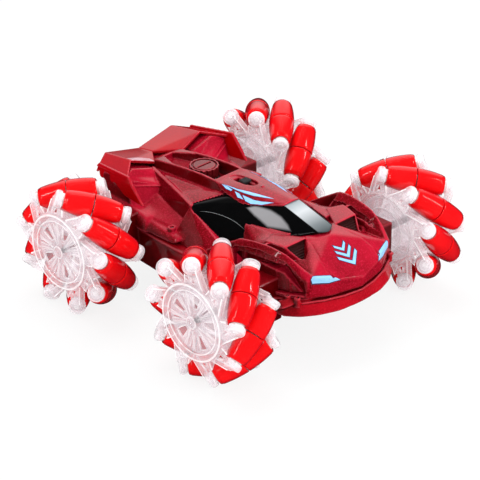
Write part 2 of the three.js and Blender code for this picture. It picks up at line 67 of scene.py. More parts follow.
# places shared by the tray, the shell and their screws
POD_SCREWS = ((10.2, 8.6), (-10.2, 8.6), (10.2, -8.6), (-10.2, -8.6))   # y, z from the wheel axis
FLOOR_SCREWS = ((44, -34), (44, 6), (40, 66), (30, -58))                # x, y
CORNER_SCREWS = ((48.5, -93.6, 48.6), (46.5, -101.2, 48.8))             # x, y, z of the pocket
TIER_SCREW = (46.6, 25.0)                                               # x, y
CAP_Y = 40
DOOR_SCREW_Y = 25

_wheel_joint = next(j for j in frame["joints"] if j["name"] == "drive_fl")
SHIFT = np.array(_wheel_joint["pos_m"], float) * 1000 - np.array([WHEEL_X, -WHEEL_Y, WHEEL_R])


# ------------------------------------------------------------------ objects
def link(obj):
    bpy.context.scene.collection.objects.link(obj)
    return obj


def piece(name, verts, faces, material, body, slot, node=None, smooth=True):
    """A mesh from design millimetres that rides on a body and may replace a CAD node."""
    verts = (np.asarray(verts, float) + SHIFT) * 0.001
    data = bpy.data.meshes.new(name)
    data.from_pydata(verts.tolist(), [], [list(map(int, f)) for f in faces])
    if smooth:
        data.polygons.foreach_set("use_smooth", [True] * len(data.polygons))
    data.materials.append(material)
    data.update()
    obj = link(bpy.data.objects.new(name, data))
    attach(obj, body)
    if node:
        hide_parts(node)


def both(points):
    """The points and their mirror images across the car's middle plane."""
    return list(points) + [(-p[0], p[1], p[2]) for p in points]


def thick(points, dx, dz):
    """Each point followed by a copy moved by dx and dz."""
    return [p for q in points for p in (q, (q[0] + dx, q[1], q[2] + dz))]


# ------------------------------------------------------------------ solids as distance fields
def smax(a, b, k):
    """Maximum with its corner rounded over the width k."""
    if k > 0:
        return np.maximum(a, b) + np.maximum(k - np.abs(a - b), 0.0) ** 2 / (4 * k)
    return np.maximum(a, b)


def smin(a, b, k):
    return -smax(-a, -b, k)


def between(value, low, high):
    """Negative where value lies between low and high."""
    return np.maximum(low - value, value - high)


def along(x, y, z, start, axis):
    return (x - start[0]) * axis[0] + (y - start[1]) * axis[1] + (z - start[2]) * axis[2]


def off_axis(x, y, z, start, axis, t):
    """Distance to the point at t along an axis."""
    return np.sqrt((x - start[0] - t * axis[0]) ** 2 + (y - start[1] - t * axis[1]) ** 2
                   + (z - start[2] - t * axis[2]) ** 2)


def hull_planes(points):
    """Outward normals and offsets of the distinct faces of a convex hull."""
    bm = bmesh.new()
    bmesh.ops.convex_hull(bm, input=[bm.verts.new(p) for p in points])
    bm.faces.ensure_lookup_table()
    middle = np.mean(np.array(points, float), axis=0)
    planes = []
    for face in bm.faces:
        face.normal_update()
        if face.calc_area() < 1e-5:
            continue
        normal = np.array(face.normal)
        offset = float(normal @ np.array(face.verts[0].co))
        if normal @ middle > offset:
            normal, offset = -normal, -offset
        if not any(np.dot(normal, m) > 0.99995 and abs(offset - e) < 0.02 for m, e in planes):
            planes.append((normal, offset))
    bm.free()
    return planes


class Solid:
    """A solid as a distance field on a grid of the given cell size; inside is negative."""

    def __init__(self, low, high, cell):
        self.low, self.cell = np.array(low, float), cell
        count = np.ceil((np.array(high, float) - self.low) / cell).astype(int) + 1
        self.axes = [self.low[i] + cell * np.arange(count[i]) for i in range(3)]
        self.field = np.full(tuple(count), 6.0, np.float32)

    def window(self, low, high, margin=4.0):
        slices, coords = [], []
        for i, axis in enumerate(self.axes):
            first = np.searchsorted(axis, low[i] - margin)
            last = np.searchsorted(axis, high[i] + margin)
            slices.append(slice(first, last))
            shape = [1, 1, 1]
            shape[i] = -1
            coords.append(axis[slices[-1]].reshape(shape).astype(np.float32))
        return tuple(slices), coords

    def put(self, low, high, distance, op="add", blend=0.0):
        """Adds or cuts a shape near its bounds, with the seam rounded by blend."""
        part, coords = self.window(low, high)
        value = distance(*coords)
        if op == "add":
            self.field[part] = smin(self.field[part], value, blend)
        else:
            self.field[part] = smax(self.field[part], -value, blend)

    def hull(self, points, op="add", blend=0.3, corner=0.5, grow=0.0):
        planes = hull_planes(points)
        spread = np.array(points, float)

        def distance(x, y, z):
            total = None
            for n, d in planes:
                one = (n[0] * x + n[1] * y + n[2] * z - d - grow).astype(np.float32)
                total = one if total is None else smax(total, one, corner)
            return total

        self.put(spread.min(0), spread.max(0), distance, op, blend)

    def box(self, low, high, op="add", blend=0.3, corner=0.4):
        low, high = np.array(low, float), np.array(high, float)
        mid, half = (low + high) / 2, (high - low) / 2 - corner

        def distance(x, y, z):
            q = [np.abs(v - mid[i]) - half[i] for i, v in enumerate((x, y, z))]
            out = np.sqrt(np.maximum(q[0], 0) ** 2 + np.maximum(q[1], 0) ** 2
                          + np.maximum(q[2], 0) ** 2)
            return out + np.minimum(np.maximum(np.maximum(q[0], q[1]), q[2]), 0) - corner

        self.put(low, high, distance, op, blend)

    def rod(self, start, end, radius, op="add", blend=0.3, flat=True):
        """A cylinder with flat or ball ends."""
        start, end = np.array(start, float), np.array(end, float)
        axis = end - start
        square = float(axis @ axis)
        length = math.sqrt(square)

        def distance(x, y, z):
            t = along(x, y, z, start, axis) / square
            if flat:
                side = off_axis(x, y, z, start, axis, t) - radius
                return smax(side, np.maximum(-t, t - 1) * length, 0.4)
            return off_axis(x, y, z, start, axis, np.clip(t, 0, 1)) - radius

        self.put(np.minimum(start, end) - radius, np.maximum(start, end) + radius,
                 distance, op, blend)

    def post(self, x, y, bottom, top, radius, op="add", blend=0.5):
        self.rod((x, y, bottom), (x, y, top), radius, op, blend)

    def path(self, points, radius, op="cut", blend=0.25):
        """A round bead or groove through the points."""
        for start, end in zip(points, points[1:]):
            self.rod(start, end, radius, op, blend, flat=False)

    def cut_below(self, height):
        floor = (height - self.axes[2]).reshape(1, 1, -1).astype(np.float32)
        self.field = np.maximum(self.field, floor)

    def mesh(self, mirror=False, rounds=1, strength=0.4):
        """The smoothed surface; mirror adds the right half to a field of the left one."""
        field = self.field
        low = self.low.copy()
        if mirror:
            field = np.concatenate([field[::-1], field[1:]], axis=0)
            low[0] = -self.axes[0][-1]
        verts, faces = surface_nets(field, low, self.cell)
        return smooth_mesh(verts, faces, rounds, strength), faces


def surface_nets(field, low, cell):
    """One vertex in each cell the surface passes through, one quad for each crossed edge."""
    inside = field < 0
    corners = [(x, y, z) for z in (0, 1) for y in (0, 1) for x in (0, 1)]
    size = np.array(field.shape) - 1
    filled = np.zeros(tuple(size), np.int8)
    for x, y, z in corners:
        filled += inside[x:size[0] + x, y:size[1] + y, z:size[2] + z]
    mixed = (filled > 0) & (filled < 8)
    index = np.full(filled.shape, -1, np.int64)
    cells = np.argwhere(mixed)
    index[mixed] = np.arange(len(cells))
    place_sum = np.zeros((len(cells), 3))
    crossings = np.zeros(len(cells))
    values = [field[cells[:, 0] + x, cells[:, 1] + y, cells[:, 2] + z].astype(float)
              for x, y, z in corners]
    for i in range(8):
        for j in range(i + 1, 8):
            a, b = np.array(corners[i]), np.array(corners[j])
            if np.abs(a - b).sum() != 1:
                continue
            crossed = (values[i] < 0) != (values[j] < 0)
            t = values[i][crossed] / (values[i][crossed] - values[j][crossed])
            place_sum[crossed] += a + t[:, None] * (b - a)
            crossings[crossed] += 1
    verts = low + cell * (cells + place_sum / crossings[:, None])
    faces = []
    for axis in range(3):
        u, v = (axis + 1) % 3, (axis + 2) % 3
        here, beyond = [slice(None)] * 3, [slice(None)] * 3
        here[axis], beyond[axis] = slice(0, -1), slice(1, None)
        inside_here = inside[tuple(here)]
        edges = np.argwhere(inside_here != inside[tuple(beyond)])
        edges = edges[(edges[:, u] > 0) & (edges[:, v] > 0)
                      & (edges[:, u] < field.shape[u] - 1) & (edges[:, v] < field.shape[v] - 1)]
        step_u, step_v = np.zeros(3, int), np.zeros(3, int)
        step_u[u], step_v[v] = 1, 1
        ring = (edges - step_u - step_v, edges - step_v, edges, edges - step_u)
        quads = np.stack([index[tuple(e.T)] for e in ring], axis=1)
        outward = inside_here[tuple(edges.T)]
        quads[~outward] = quads[~outward][:, ::-1]
        faces.append(quads)
    return verts, np.concatenate(faces)


def smooth_mesh(verts, faces, rounds, strength):
    """Smooths then swells back, so small steps vanish and volume stays."""
    edges = np.concatenate([faces[:, [0, 1]], faces[:, [1, 2]], faces[:, [2, 3]], faces[:, [3, 0]]])
    start, end = edges[:, 0], edges[:, 1]
    count = len(verts)
    degree = np.bincount(start, minlength=count) + np.bincount(end, minlength=count)
    verts = verts.copy()
    for _ in range(rounds):
        for factor in (strength, -strength * 1.03):
            near = np.stack([np.bincount(start, verts[end, i], count)
                             + np.bincount(end, verts[start, i], count) for i in range(3)], axis=1)
            verts += factor * (near / degree[:, None] - verts)
    return verts


# ------------------------------------------------------------------ node building
class Graph:
    """Short calls for building a node tree; values may be numbers, colours or sockets."""

    def __init__(self, tree):
        self.tree = tree

    def feed(self, socket, value):
        if isinstance(value, bpy.types.NodeSocket):
            self.tree.links.new(value, socket)
        else:
            socket.default_value = (*value, 1) if isinstance(value, tuple) else value

    def node(self, kind, values=None, **settings):
        made = self.tree.nodes.new("ShaderNode" + kind)
        for key, value in settings.items():
            setattr(made, key, value)
        for key, value in (values or {}).items():
            self.feed(made.inputs[key], value)
        return made

    def separate(self, socket):
        return self.node("SeparateXYZ", {0: socket}).outputs

    def position(self):
        return self.separate(self.node("TexCoord").outputs["Object"])

    def ramp(self, value, *stops):
        """Stops are (position, colour); a single number is a grey."""
        made = self.node("ValToRGB")
        elements = made.color_ramp.elements
        while len(elements) < len(stops):
            elements.new(0.5)
        for i, (position, colour) in enumerate(stops):
            elements[i].position = position
            elements[i].color = (*(colour if isinstance(colour, tuple) else (colour,) * 3), 1)
        self.feed(made.inputs["Fac"], value)
        return made.outputs["Color"]

    def noise(self, scale, detail=3.0, rough=0.5, seed=0.0):
        vector = self.node("TexCoord").outputs["Object"]
        values = {"W": seed, "Scale": scale, "Detail": detail, "Roughness": rough,
                  "Vector": vector}
        return self.node("TexNoise", values, noise_dimensions="4D").outputs["Fac"]

    def math(self, op, a, b, clamp=False):
        return self.node("Math", {0: a, 1: b}, operation=op, use_clamp=clamp).outputs[0]

    def mix(self, fac, a, b):
        return self.node("Mix", {0: fac, 6: a, 7: b}, data_type="RGBA").outputs[2]

    def map_range(self, value, low, high, **settings):
        values = {"From Min": low, "From Max": high, "Value": value}
        return self.node("MapRange", values, **settings).outputs[0]


class Shader(Graph):
    """A material around one Principled shader."""

    def __init__(self, name):
        self.material = bpy.data.materials.new(name)
        self.material.use_nodes = True
        super().__init__(self.material.node_tree)
        self.principled = self.tree.nodes["Principled BSDF"]

    def set(self, **inputs):
        for key, value in inputs.items():
            self.feed(self.principled.inputs[key.replace("_", " ")], value)

    def bump(self, height, strength=0.1, distance=0.0002):
        values = {"Strength": strength, "Distance": distance, "Height": height}
        self.set(Normal=self.node("Bump", values).outputs["Normal"])

    def blend_output(self, fac, a, b):
        mixed = self.node("MixShader", {0: fac, 1: a.outputs[0], 2: b.outputs[0]})
        self.feed(self.tree.nodes["Material Output"].inputs["Surface"], mixed.outputs[0])


def planform(shader, outline, soft):
    """1 inside a convex outline given in plan (x, y) on the left half and mirrored to the right,
    with an edge of width soft. Also returns the design y."""
    place = shader.position()
    x_mm = shader.math("MULTIPLY", place["X"], 1000.0)
    across = shader.math("ABSOLUTE", shader.math("SUBTRACT", x_mm, float(SHIFT[0])), 0.0)
    y_mm = shader.math("MULTIPLY", place["Y"], 1000.0)
    y = shader.math("SUBTRACT", y_mm, float(SHIFT[1]))
    middle = np.mean(np.array(outline, float), axis=0)
    depth = None
    for p, q in zip(outline, outline[1:] + outline[:1]):
        normal = np.array([q[1] - p[1], p[0] - q[0]], float)
        normal /= np.linalg.norm(normal)
        offset = float(normal @ np.array(p))
        if normal @ middle > offset:
            normal, offset = -normal, -offset
        reach = shader.math("ADD", shader.math("MULTIPLY", across, float(normal[0])),
                            shader.math("MULTIPLY", y, float(normal[1])))
        edge = shader.math("SUBTRACT", offset, reach)
        depth = edge if depth is None else shader.math("MINIMUM", depth, edge)
    return shader.map_range(depth, 0.0, soft, interpolation_type="SMOOTHSTEP"), y


# ------------------------------------------------------------------ materials
def smoked_red(name, deep, mid, light, rough=0.2, speck=0.5, upward=0.85, forward=0.30,
               front_y=None, reflection_strip=None, coat=((0.5, 0.45), (0.9, 0.30))):
    """Smoked red plastic: deep where it faces sideways, milky red where light falls on it.

    upward and forward weigh the faces turned up and to the nose; front_y limits the second to
    what lies ahead of it. reflection_strip outlines a painted reflection, a pale strip on the
    right half's upward faces. coat gives the clear coat's weight by how far up a face looks.
    """
    s = Shader(name)
    geometry = s.node("NewGeometry")
    normal = s.separate(geometry.outputs["Normal"])
    up = s.math("ADD", s.math("MULTIPLY", normal["Z"], 0.5), 0.5)
    ahead = s.math("MAXIMUM", s.math("MULTIPLY", normal["Y"], -1.0), 0.0)
    if front_y is not None:
        low, high = (front_y + SHIFT[1] + 6) * 0.001, (front_y + SHIFT[1] - 6) * 0.001
        ahead = s.math("MULTIPLY", ahead, s.map_range(s.position()["Y"], low, high))
    lit = s.math("ADD", s.math("MULTIPLY", up, upward), s.math("MULTIPLY", ahead, forward))
    base = s.ramp(lit, (0.0, deep), (0.56, deep), (0.79, mid), (0.94, light))
    # broad darker clouds and brighter glows
    cloud = s.noise(30, 4, 0.6)
    base = s.mix(s.ramp(cloud, (0.42, 0), (0.66, 0.55)), base, tuple(c * 1.3 for c in deep))
    glow = s.noise(17, 2, 0.5, seed=7.3)
    base = s.mix(s.ramp(glow, (0.50, 0), (0.70, 0.4)), base,
                 (mid[0] * 1.5, mid[1] * 1.2, mid[2] * 1.8))
    # fine flecks, strongest on lit faces
    fine = s.noise(950, 2, 0.75)
    fleck = s.math("MULTIPLY", s.ramp(fine, (0.50, 0), (0.64, speck)),
                   s.ramp(lit, (0.5, 0.12), (0.82, 1)))
    base = s.mix(fleck, base, (light[0] * 1.25, light[1] * 2.6, light[2] * 1.8))
    # painted highlights: sharp edges are painted pale, as if they catch the light
    edge = s.ramp(geometry.outputs["Pointiness"], (0.512, 0), (0.60, 0.8))
    base = s.mix(edge, base, (0.60, 0.060, 0.085))
    # painted reflection: a pale pinkish strip of studio reflection on the right half's upward
    # faces, mottled by noise
    if reflection_strip:
        painted_reflection, _ = planform(s, reflection_strip, soft=1.2)
        place = s.position()
        top_right = s.math("MULTIPLY", s.math("GREATER_THAN", up, 0.75),
                           s.math("LESS_THAN", place["X"], 0.0))
        painted_reflection = s.math("MULTIPLY", painted_reflection, top_right)
        mottle = s.ramp(s.noise(160, 3, 0.6, seed=2.2), (0.35, 0.55), (0.65, 0.95))
        base = s.mix(s.math("MULTIPLY", painted_reflection, mottle), base, (0.56, 0.36, 0.41))
    shine = s.ramp(up, (0.5, 0.03), (0.82, 0.10), (0.96, 0.42))
    if reflection_strip:
        # outward-leaning panels stay saturated, only flat and inward ones mirror the studio
        is_left = s.math("GREATER_THAN", place["X"], 0.0)
        sign = s.math("SUBTRACT", s.math("MULTIPLY", is_left, 2.0), 1.0)
        outward = s.math("MULTIPLY", sign, normal["X"])
        shine = s.math("MULTIPLY", shine, s.ramp(outward, (0.06, 1), (0.30, 0.08)))
    s.set(Base_Color=base, Specular_IOR_Level=shine, Coat_Weight=s.ramp(up, *coat),
          Roughness=rough, Coat_Roughness=0.05, IOR=1.5)
    s.bump(fine, strength=0.12, distance=0.00015)
    return s.material


def gloss_red(name):
    """Bright red, darker where the surface turns away."""
    s = Shader(name)
    base = s.mix(s.ramp(s.noise(60, 3, 0.5), (0.35, 0), (0.7, 1)),
                 (0.76, 0.003, 0.005), (0.90, 0.006, 0.008))
    # painted shade: the red darkens towards the outline, where the surface turns away from the view
    facing = s.node("LayerWeight", {"Blend": 0.5}).outputs["Facing"]
    turned = s.ramp(facing, (0.30, 0), (0.60, 0.45), (0.86, 0.95))
    s.set(Base_Color=s.mix(turned, base, (0.33, 0.001, 0.008)), Roughness=0.20, Coat_Weight=0.9,
          Coat_Roughness=0.045, IOR=1.45, Specular_IOR_Level=0.1)
    s.bump(s.noise(700, 2, 0.6), strength=0.04, distance=0.0001)
    return s.material


def milky(name, colour):
    s = Shader(name)
    base = s.mix(s.ramp(s.noise(180, 3, 0.6), (0.3, 0), (0.75, 1)),
                 colour, tuple(c * 0.92 for c in colour))
    s.set(Base_Color=base, Roughness=0.35, Coat_Weight=0.3, Coat_Roughness=0.1)
    s.bump(s.noise(900, 2, 0.6), strength=0.06, distance=0.0001)
    return s.material


def clear_plastic(name, density=0.19, edge=0.74, glow=0.24):
    """See-through plastic; density is how solid a face looks head-on, edge how solid side-on."""
    s = Shader(name)
    facing = s.node("LayerWeight", {"Blend": 0.42}).outputs["Facing"]
    pointed = s.node("NewGeometry").outputs["Pointiness"]
    edges = s.ramp(pointed, (0.508, 0), (0.565, 1))
    shaded_hollows = s.ramp(pointed, (0.42, 1), (0.492, 0))
    veil = s.ramp(s.noise(55, 3, 0.55), (0.35, 0), (0.75, 0.10))
    solid = s.ramp(facing, (0.0, density), (0.55, density + 0.10), (1.0, edge))
    solid = s.math("ADD", solid, s.math("MULTIPLY", edges, 0.50), clamp=True)
    solid = s.math("ADD", solid, s.math("MULTIPLY", shaded_hollows, 0.22), clamp=True)
    solid = s.math("ADD", solid, veil, clamp=True)
    through = s.node("BsdfTransparent", {"Color": (0.996, 0.976, 0.984)})
    # painted highlights and shade: sharp edges are painted near-white, hollows are painted darker
    body = s.mix(edges, (0.80, 0.755, 0.785), (0.97, 0.96, 0.965))
    body = s.mix(s.math("MULTIPLY", shaded_hollows, 0.6), body, (0.58, 0.50, 0.54))
    # the emission is painted light: a faint glow standing in for light scattered through the
    # plastic
    s.set(Base_Color=body, Emission_Color=body, Roughness=0.12, Coat_Weight=0.5,
          Coat_Roughness=0.03, IOR=1.49, Emission_Strength=glow)
    s.bump(s.noise(420, 2, 0.5), strength=0.05, distance=0.0001)
    s.blend_output(solid, through, s.principled)
    return s.material


# painted soft-box reflections on the canopy in plan, x and y
CANOPY_TOP_REFLECTION = [(0, -46), (7.3, -49), (7.2, -82), (0, -87), (-3, -87), (-3, -46)]
CANOPY_FLANK_REFLECTION = [(19.8, -22.5), (15.0, -28.5), (12.6, -42), (12.2, -52), (13.4, -60),
                      (15.8, -66), (22.2, -47), (21.6, -33)]


def canopy_black(name):
    """Mirror-gloss black with soft-box reflections painted on its top facet and front flanks."""
    s = Shader(name)
    mottle = s.noise(90, 3, 0.5)
    top, y = planform(s, CANOPY_TOP_REFLECTION, soft=0.5)
    flank, _ = planform(s, CANOPY_FLANK_REFLECTION, soft=2.0)
    rearward = s.map_range(y, -86.0, -52.0)
    top_tone = s.ramp(rearward, (0.0, (0.035, 0.045, 0.050)), (0.30, (0.15, 0.17, 0.18)),
                      (0.75, (0.48, 0.50, 0.52)), (1.0, (0.30, 0.34, 0.36)))
    flank_tone = s.ramp(rearward, (0.0, (0.10, 0.10, 0.105)), (0.6, (0.20, 0.20, 0.21)),
                        (1.0, (0.26, 0.26, 0.27)))
    base = s.mix(mottle, (0.0012, 0.0013, 0.0014), (0.003, 0.003, 0.0033))
    base = s.mix(flank, base, flank_tone)
    base = s.mix(top, base, top_tone)
    s.set(Base_Color=base, Roughness=s.ramp(mottle, (0.3, 0.05), (0.8, 0.08)), IOR=1.45,
          Specular_IOR_Level=0.14, Coat_Weight=0.07, Coat_Roughness=0.02)
    return s.material


def mottled(name, dark, light, rough=0.4, metal=0.0, scale=200, bump=0.08, coat=0.0):
    """Two close colours mixed by noise of the given scale."""
    s = Shader(name)
    grain = s.noise(scale, 4, 0.6)
    base = s.mix(s.ramp(grain, (0.3, 0), (0.72, 1)), dark, light)
    sheen = s.ramp(s.noise(scale * 2.3, 2, 0.5), (0.3, rough - 0.06), (0.75, rough + 0.08))
    s.set(Base_Color=base, Roughness=sheen, Metallic=metal, Coat_Weight=coat, Coat_Roughness=0.05)
    s.bump(grain, strength=bump)
    return s.material


def pale_floor(name):
    """Pale studio floor that keeps only a light shadow."""
    s = Shader(name)
    s.set(Base_Color=s.mix(s.noise(3, 3, 0.5), (0.80, 0.80, 0.80), (0.84, 0.84, 0.84)),
          Roughness=0.8, Specular_IOR_Level=0.0)
    white = s.node("Emission", {"Color": (0.99, 0.99, 0.99)})
    seen = s.node("LightPath").outputs["Is Camera Ray"]
    s.blend_output(s.math("MULTIPLY", seen, 0.87), s.principled, white)
    return s.material


M_SHELL = smoked_red("shell_smoked_red", deep=(0.072, 0.0003, 0.0008), mid=(0.175, 0.0010, 0.004),
                     light=(0.42, 0.004, 0.022), speck=0.65, forward=0.52)
# the tray takes less painted light on its upward faces, which lie in shade under the wheels and
# fenders, and more on the bumper's forward faces
M_TRAY = smoked_red("tray_smoked_red", deep=(0.065, 0.0003, 0.0008), mid=(0.38, 0.0015, 0.009),
                    light=(0.46, 0.004, 0.014), rough=0.24, upward=0.62, forward=0.46, front_y=-90)
# the wing's sideways faces are painted brighter than its tops, standing in for light shining
# through the thin plastic; the outline below marks a painted reflection on the right half
M_WING = smoked_red("wing_smoked_red", deep=(0.34, 0.0001, 0.0008), mid=(0.265, 0.0003, 0.005),
                    light=(0.40, 0.002, 0.015), speck=0.2,
                    coat=((0.5, 0.16), (0.86, 0.10), (0.96, 0.26)),
                    reflection_strip=[(34.4, 80.6), (13.4, 77.4), (14.6, 83.6), (33.8, 88.2)])
M_ROLLER = gloss_red("roller_gloss_red")
M_WHITE = milky("collar_white", (0.90, 0.89, 0.89))
M_CLEAR = clear_plastic("hub_clear")
M_BLACK = canopy_black("canopy_gloss_black")
M_CREASE = mottled("crease_light_grey", (0.10, 0.12, 0.12), (0.24, 0.27, 0.27), rough=0.25)
M_BLUE = mottled("decal_blue", (0.24, 0.52, 0.92), (0.29, 0.57, 0.95), rough=0.35, scale=400,
                 bump=0.02, coat=0.4)
M_NAVY = mottled("decal_edge", (0.03, 0.02, 0.05), (0.05, 0.03, 0.07), scale=400, bump=0.02)
M_STEEL = mottled("screw_steel", (0.45, 0.45, 0.47), (0.62, 0.62, 0.63), rough=0.28, metal=1.0,
                  scale=1500)
M_GREY = mottled("gearbox_grey", (0.18, 0.18, 0.19), (0.26, 0.26, 0.27), rough=0.5, scale=500)
M_TANK = clear_plastic("tank_clear", density=0.5, edge=0.9, glow=0.05)
M_CAP = smoked_red("cap_smoked_red", deep=(0.040, 0.0006, 0.0012), mid=(0.12, 0.004, 0.008),
                   light=(0.26, 0.03, 0.035), speck=0.2)
# near-black intake plates: partly a dark grille, partly painted shade for the deep, shaded intake
# opening
M_INTAKE_GRILLE_SHADE = mottled("intake_grille_and_shade", (0.020, 0.002, 0.002), (0.050, 0.006, 0.006), rough=0.5,
                   scale=900, bump=0.2)
M_CELL = mottled("cell_wrap", (0.03, 0.10, 0.36), (0.05, 0.14, 0.44), rough=0.35, scale=300)
M_BOARD = mottled("board_green", (0.01, 0.11, 0.04), (0.02, 0.17, 0.06), scale=700)
M_SATIN = mottled("satin_black", (0.012, 0.012, 0.013), (0.03, 0.03, 0.032), rough=0.45, scale=500)
M_FLOOR = pale_floor("floor_pale")


# ------------------------------------------------------------------ turned parts
def lathe(profile, segments):
    """Solid of revolution about +Z from (radius, height) points; a ring if none touch the axis."""
    verts, faces, rings = [], [], []
    for radius, height in profile:
        if radius < 1e-6:
            rings.append([len(verts)])
            verts.append((0, 0, height))
        else:
            rings.append(list(range(len(verts), len(verts) + segments)))
            for i in range(segments):
                a = 2 * math.pi * i / segments
                verts.append((radius * math.cos(a), radius * math.sin(a), height))
    closed = profile[0][0] > 1e-6 and profile[-1][0] > 1e-6
    pairs = list(zip(rings, rings[1:])) + ([(rings[-1], rings[0])] if closed else [])
    for a, b in pairs:
        for i in range(segments):
            j = (i + 1) % segments
            if len(a) == 1:
                faces.append((a[0], b[j], b[i]))
            elif len(b) == 1:
                faces.append((a[i], a[j], b[0]))
            else:
                faces.append((a[i], a[j], b[j], b[i]))
    return np.array(verts, float), faces


def fillet(points, radius, steps=3):
    """Rounds the inner corners of an open profile."""
    out = [points[0]]
    for before, corner, after in zip(points, points[1:], points[2:]):
        corner = np.array(corner, float)
        a, b = np.array(before, float) - corner, np.array(after, float) - corner
        len_a, len_b = np.linalg.norm(a), np.linalg.norm(b)
        cut = min(radius, len_a * 0.45, len_b * 0.45)
        a, b = corner + a / len_a * cut, corner + b / len_b * cut
        for i in range(steps + 1):
            t = i / steps
            out.append(tuple((1 - t) ** 2 * a + 2 * t * (1 - t) * corner + t * t * b))
    out.append(points[-1])
    return out


def place(verts, centre, direction):
    """Turns +Z to the direction and moves the origin to the centre."""
    turn = np.array(Vector(direction).to_track_quat("Z", "Y").to_matrix())
    return verts @ turn.T + centre


# ------------------------------------------------------------------ rollers
def barrel(t):
    """Roller radius at t along its axis, so that the rollers together make a round wheel."""
    return np.sqrt(WHEEL_R ** 2 - t * t / 2) - ROLLER_RING_R


SLEEVE_PROFILE = (
    [(5.0, 0.35), (barrel(0.35) - 0.55, 0.35), (barrel(0.5) - 0.25, 0.42)]
    + [(barrel(t) - 0.02, t) for t in (0.75, 2, 4, 6, 8, 10, 12, 14, 16, 18)]
    + [(barrel(19.3), 19.3), (barrel(19.6) - 0.28, 19.55), (barrel(20.6) - 0.32, 20.6),
       (barrel(21) - 0.6, 21.05), (barrel(SLEEVE_END) - 1.1, SLEEVE_END),
       (5.6, SLEEVE_END - 0.1), (5.1, SLEEVE_END - 0.8), (5.0, 12.0)]
)
CORE_PROFILE = fillet(
    [(0, -26.6), (2.0, -26.6), (2.0, -25.6), (4.5, -24.2), (4.75, -21.0), (4.75, -12.0), (4.6, 0),
     (4.75, 12.0), (4.75, 21.0), (4.5, 24.2), (2.0, 25.6), (2.0, 26.6), (0, 26.6)], 0.5)


def wheel_centre(side, end):
    return np.array([side * WHEEL_X, end * WHEEL_Y, WHEEL_R])


def roller_axis(side, end, tilt, phase, k):
    """Middle of the k-th roller and its direction, pointing outboard."""
    a = math.radians(phase + SECTOR_DEG * k)
    middle = np.array([side * WHEEL_X, end * WHEEL_Y + ROLLER_RING_R * math.sin(a),
                       WHEEL_R + ROLLER_RING_R * math.cos(a)])
    axis = np.array([DIAGONAL, DIAGONAL * tilt * math.cos(a), -DIAGONAL * tilt * math.sin(a)])
    return middle, (-axis if axis[0] * side < 0 else axis)


def build_rollers():
    """Each roller is two red sleeves on a white core."""
    sleeve, sleeve_faces = lathe(SLEEVE_PROFILE, 44)
    core, core_faces = lathe(CORE_PROFILE, 28)
    pair_faces = sleeve_faces + [tuple(i + len(sleeve) for i in f) for f in sleeve_faces]
    for wheel, side, end, tilt, phase in WHEELS:
        for k in range(ROLLERS):
            middle, axis = roller_axis(side, end, tilt, phase, k)
            body = f"roller_{wheel}_{k + 1}"
            pair = np.concatenate([place(sleeve, middle, axis), place(sleeve, middle, -axis)])
            piece(body + "_sleeves", pair, pair_faces, M_ROLLER, body, "roller_plastic", body)
            piece(body + "_core", place(core, middle, axis), core_faces, M_WHITE, body,
                  "clear_plastic")


# ------------------------------------------------------------------ hubs
def fold(angle, count):
    """Angle folded into the sector around zero, one of count equal ones."""
    step = 2 * math.pi / count
    return angle - step * np.round(angle / step)


def fold_lobe(y, z):
    """Sideways and radial place in the sector centred on the nearest lobe."""
    rho = np.sqrt(y * y + z * z)
    a = fold(np.arctan2(y, z) - math.radians(LOBE_DEG), ROLLERS)
    return rho * np.sin(a), rho * np.cos(a)


def lobe_sector(p):
    """A point seen in the lobe's sector."""
    a = math.atan2(p[1], p[2]) - math.radians(LOBE_DEG)
    r = math.hypot(p[1], p[2])
    return np.array([p[0], r * math.sin(a), r * math.cos(a)])


_roller_mid = np.array([0, 0, ROLLER_RING_R])
_roller_dir = np.array([DIAGONAL, DIAGONAL, 0.0])
LOBE_FOOT = lobe_sector(_roller_mid + _roller_dir * LOBE_START)
LOBE_AXIS = lobe_sector(_roller_mid + _roller_dir * LOBE_END) - LOBE_FOOT
LOBE_LENGTH = np.linalg.norm(LOBE_AXIS)
LOBE_AXIS = LOBE_AXIS / LOBE_LENGTH


def disc(radius, x0, x1):
    return lambda x, y, z: smax(np.sqrt(y * y + z * z) - radius, between(x, x0, x1), 0.4)


def ring(r0, r1, x0, x1, corner=0.5):
    return lambda x, y, z: smax(np.abs(np.sqrt(y * y + z * z) - (r0 + r1) / 2) - (r1 - r0) / 2,
                                between(x, x0, x1), corner)


def wedges(turn, half_width, widening, outer_r, corner):
    """Radial openings in the face of the outer hub."""
    def distance(x, y, z):
        rho = np.sqrt(y * y + z * z)
        a = fold(np.arctan2(y, z) - turn, HUB_SPOKES)
        side = np.abs(rho * np.sin(a)) - (half_width + widening * (rho - 8))
        return smax(side, between(rho, 10.5, outer_r), corner)
    return distance


def paired_spokes(x, y, z):
    rho = np.sqrt(y * y + z * z)
    total = None
    for turn, slope in ((-0.16, -0.004), (0.16, 0.004)):
        a = fold(np.arctan2(y, z) - turn - slope * (rho - 8), HUB_SPOKES)
        one = np.abs(rho * np.sin(a)) - (0.7 + 0.035 * rho)
        one = smax(one, between(x, 17.0, 19.6), 0.8)
        one = np.maximum(one, between(rho, 4.0, 26.5))
        total = one if total is None else np.minimum(total, one)
    return total


def arm_place(y, z):
    """Distance from the arm's leaning middle line, radial place, and share of the way out."""
    y, z = fold_lobe(y, z)
    out = np.clip((z - 26.0) / 17.0, 0, 1)
    return np.abs(y - (LOBE_FOOT[1] * 0.9 * out + 0.9 * (1 - out))), z, out


def arms(x, y, z):
    """Straight-sided arms from the rim to the lobes."""
    off, z, out = arm_place(y, z)
    section = np.maximum(off - (9.3 - 3.7 * out), np.abs(x - (18.6 - 1.2 * out)) - 1.0)
    return np.maximum(section, between(z, 24.0, 43.0))


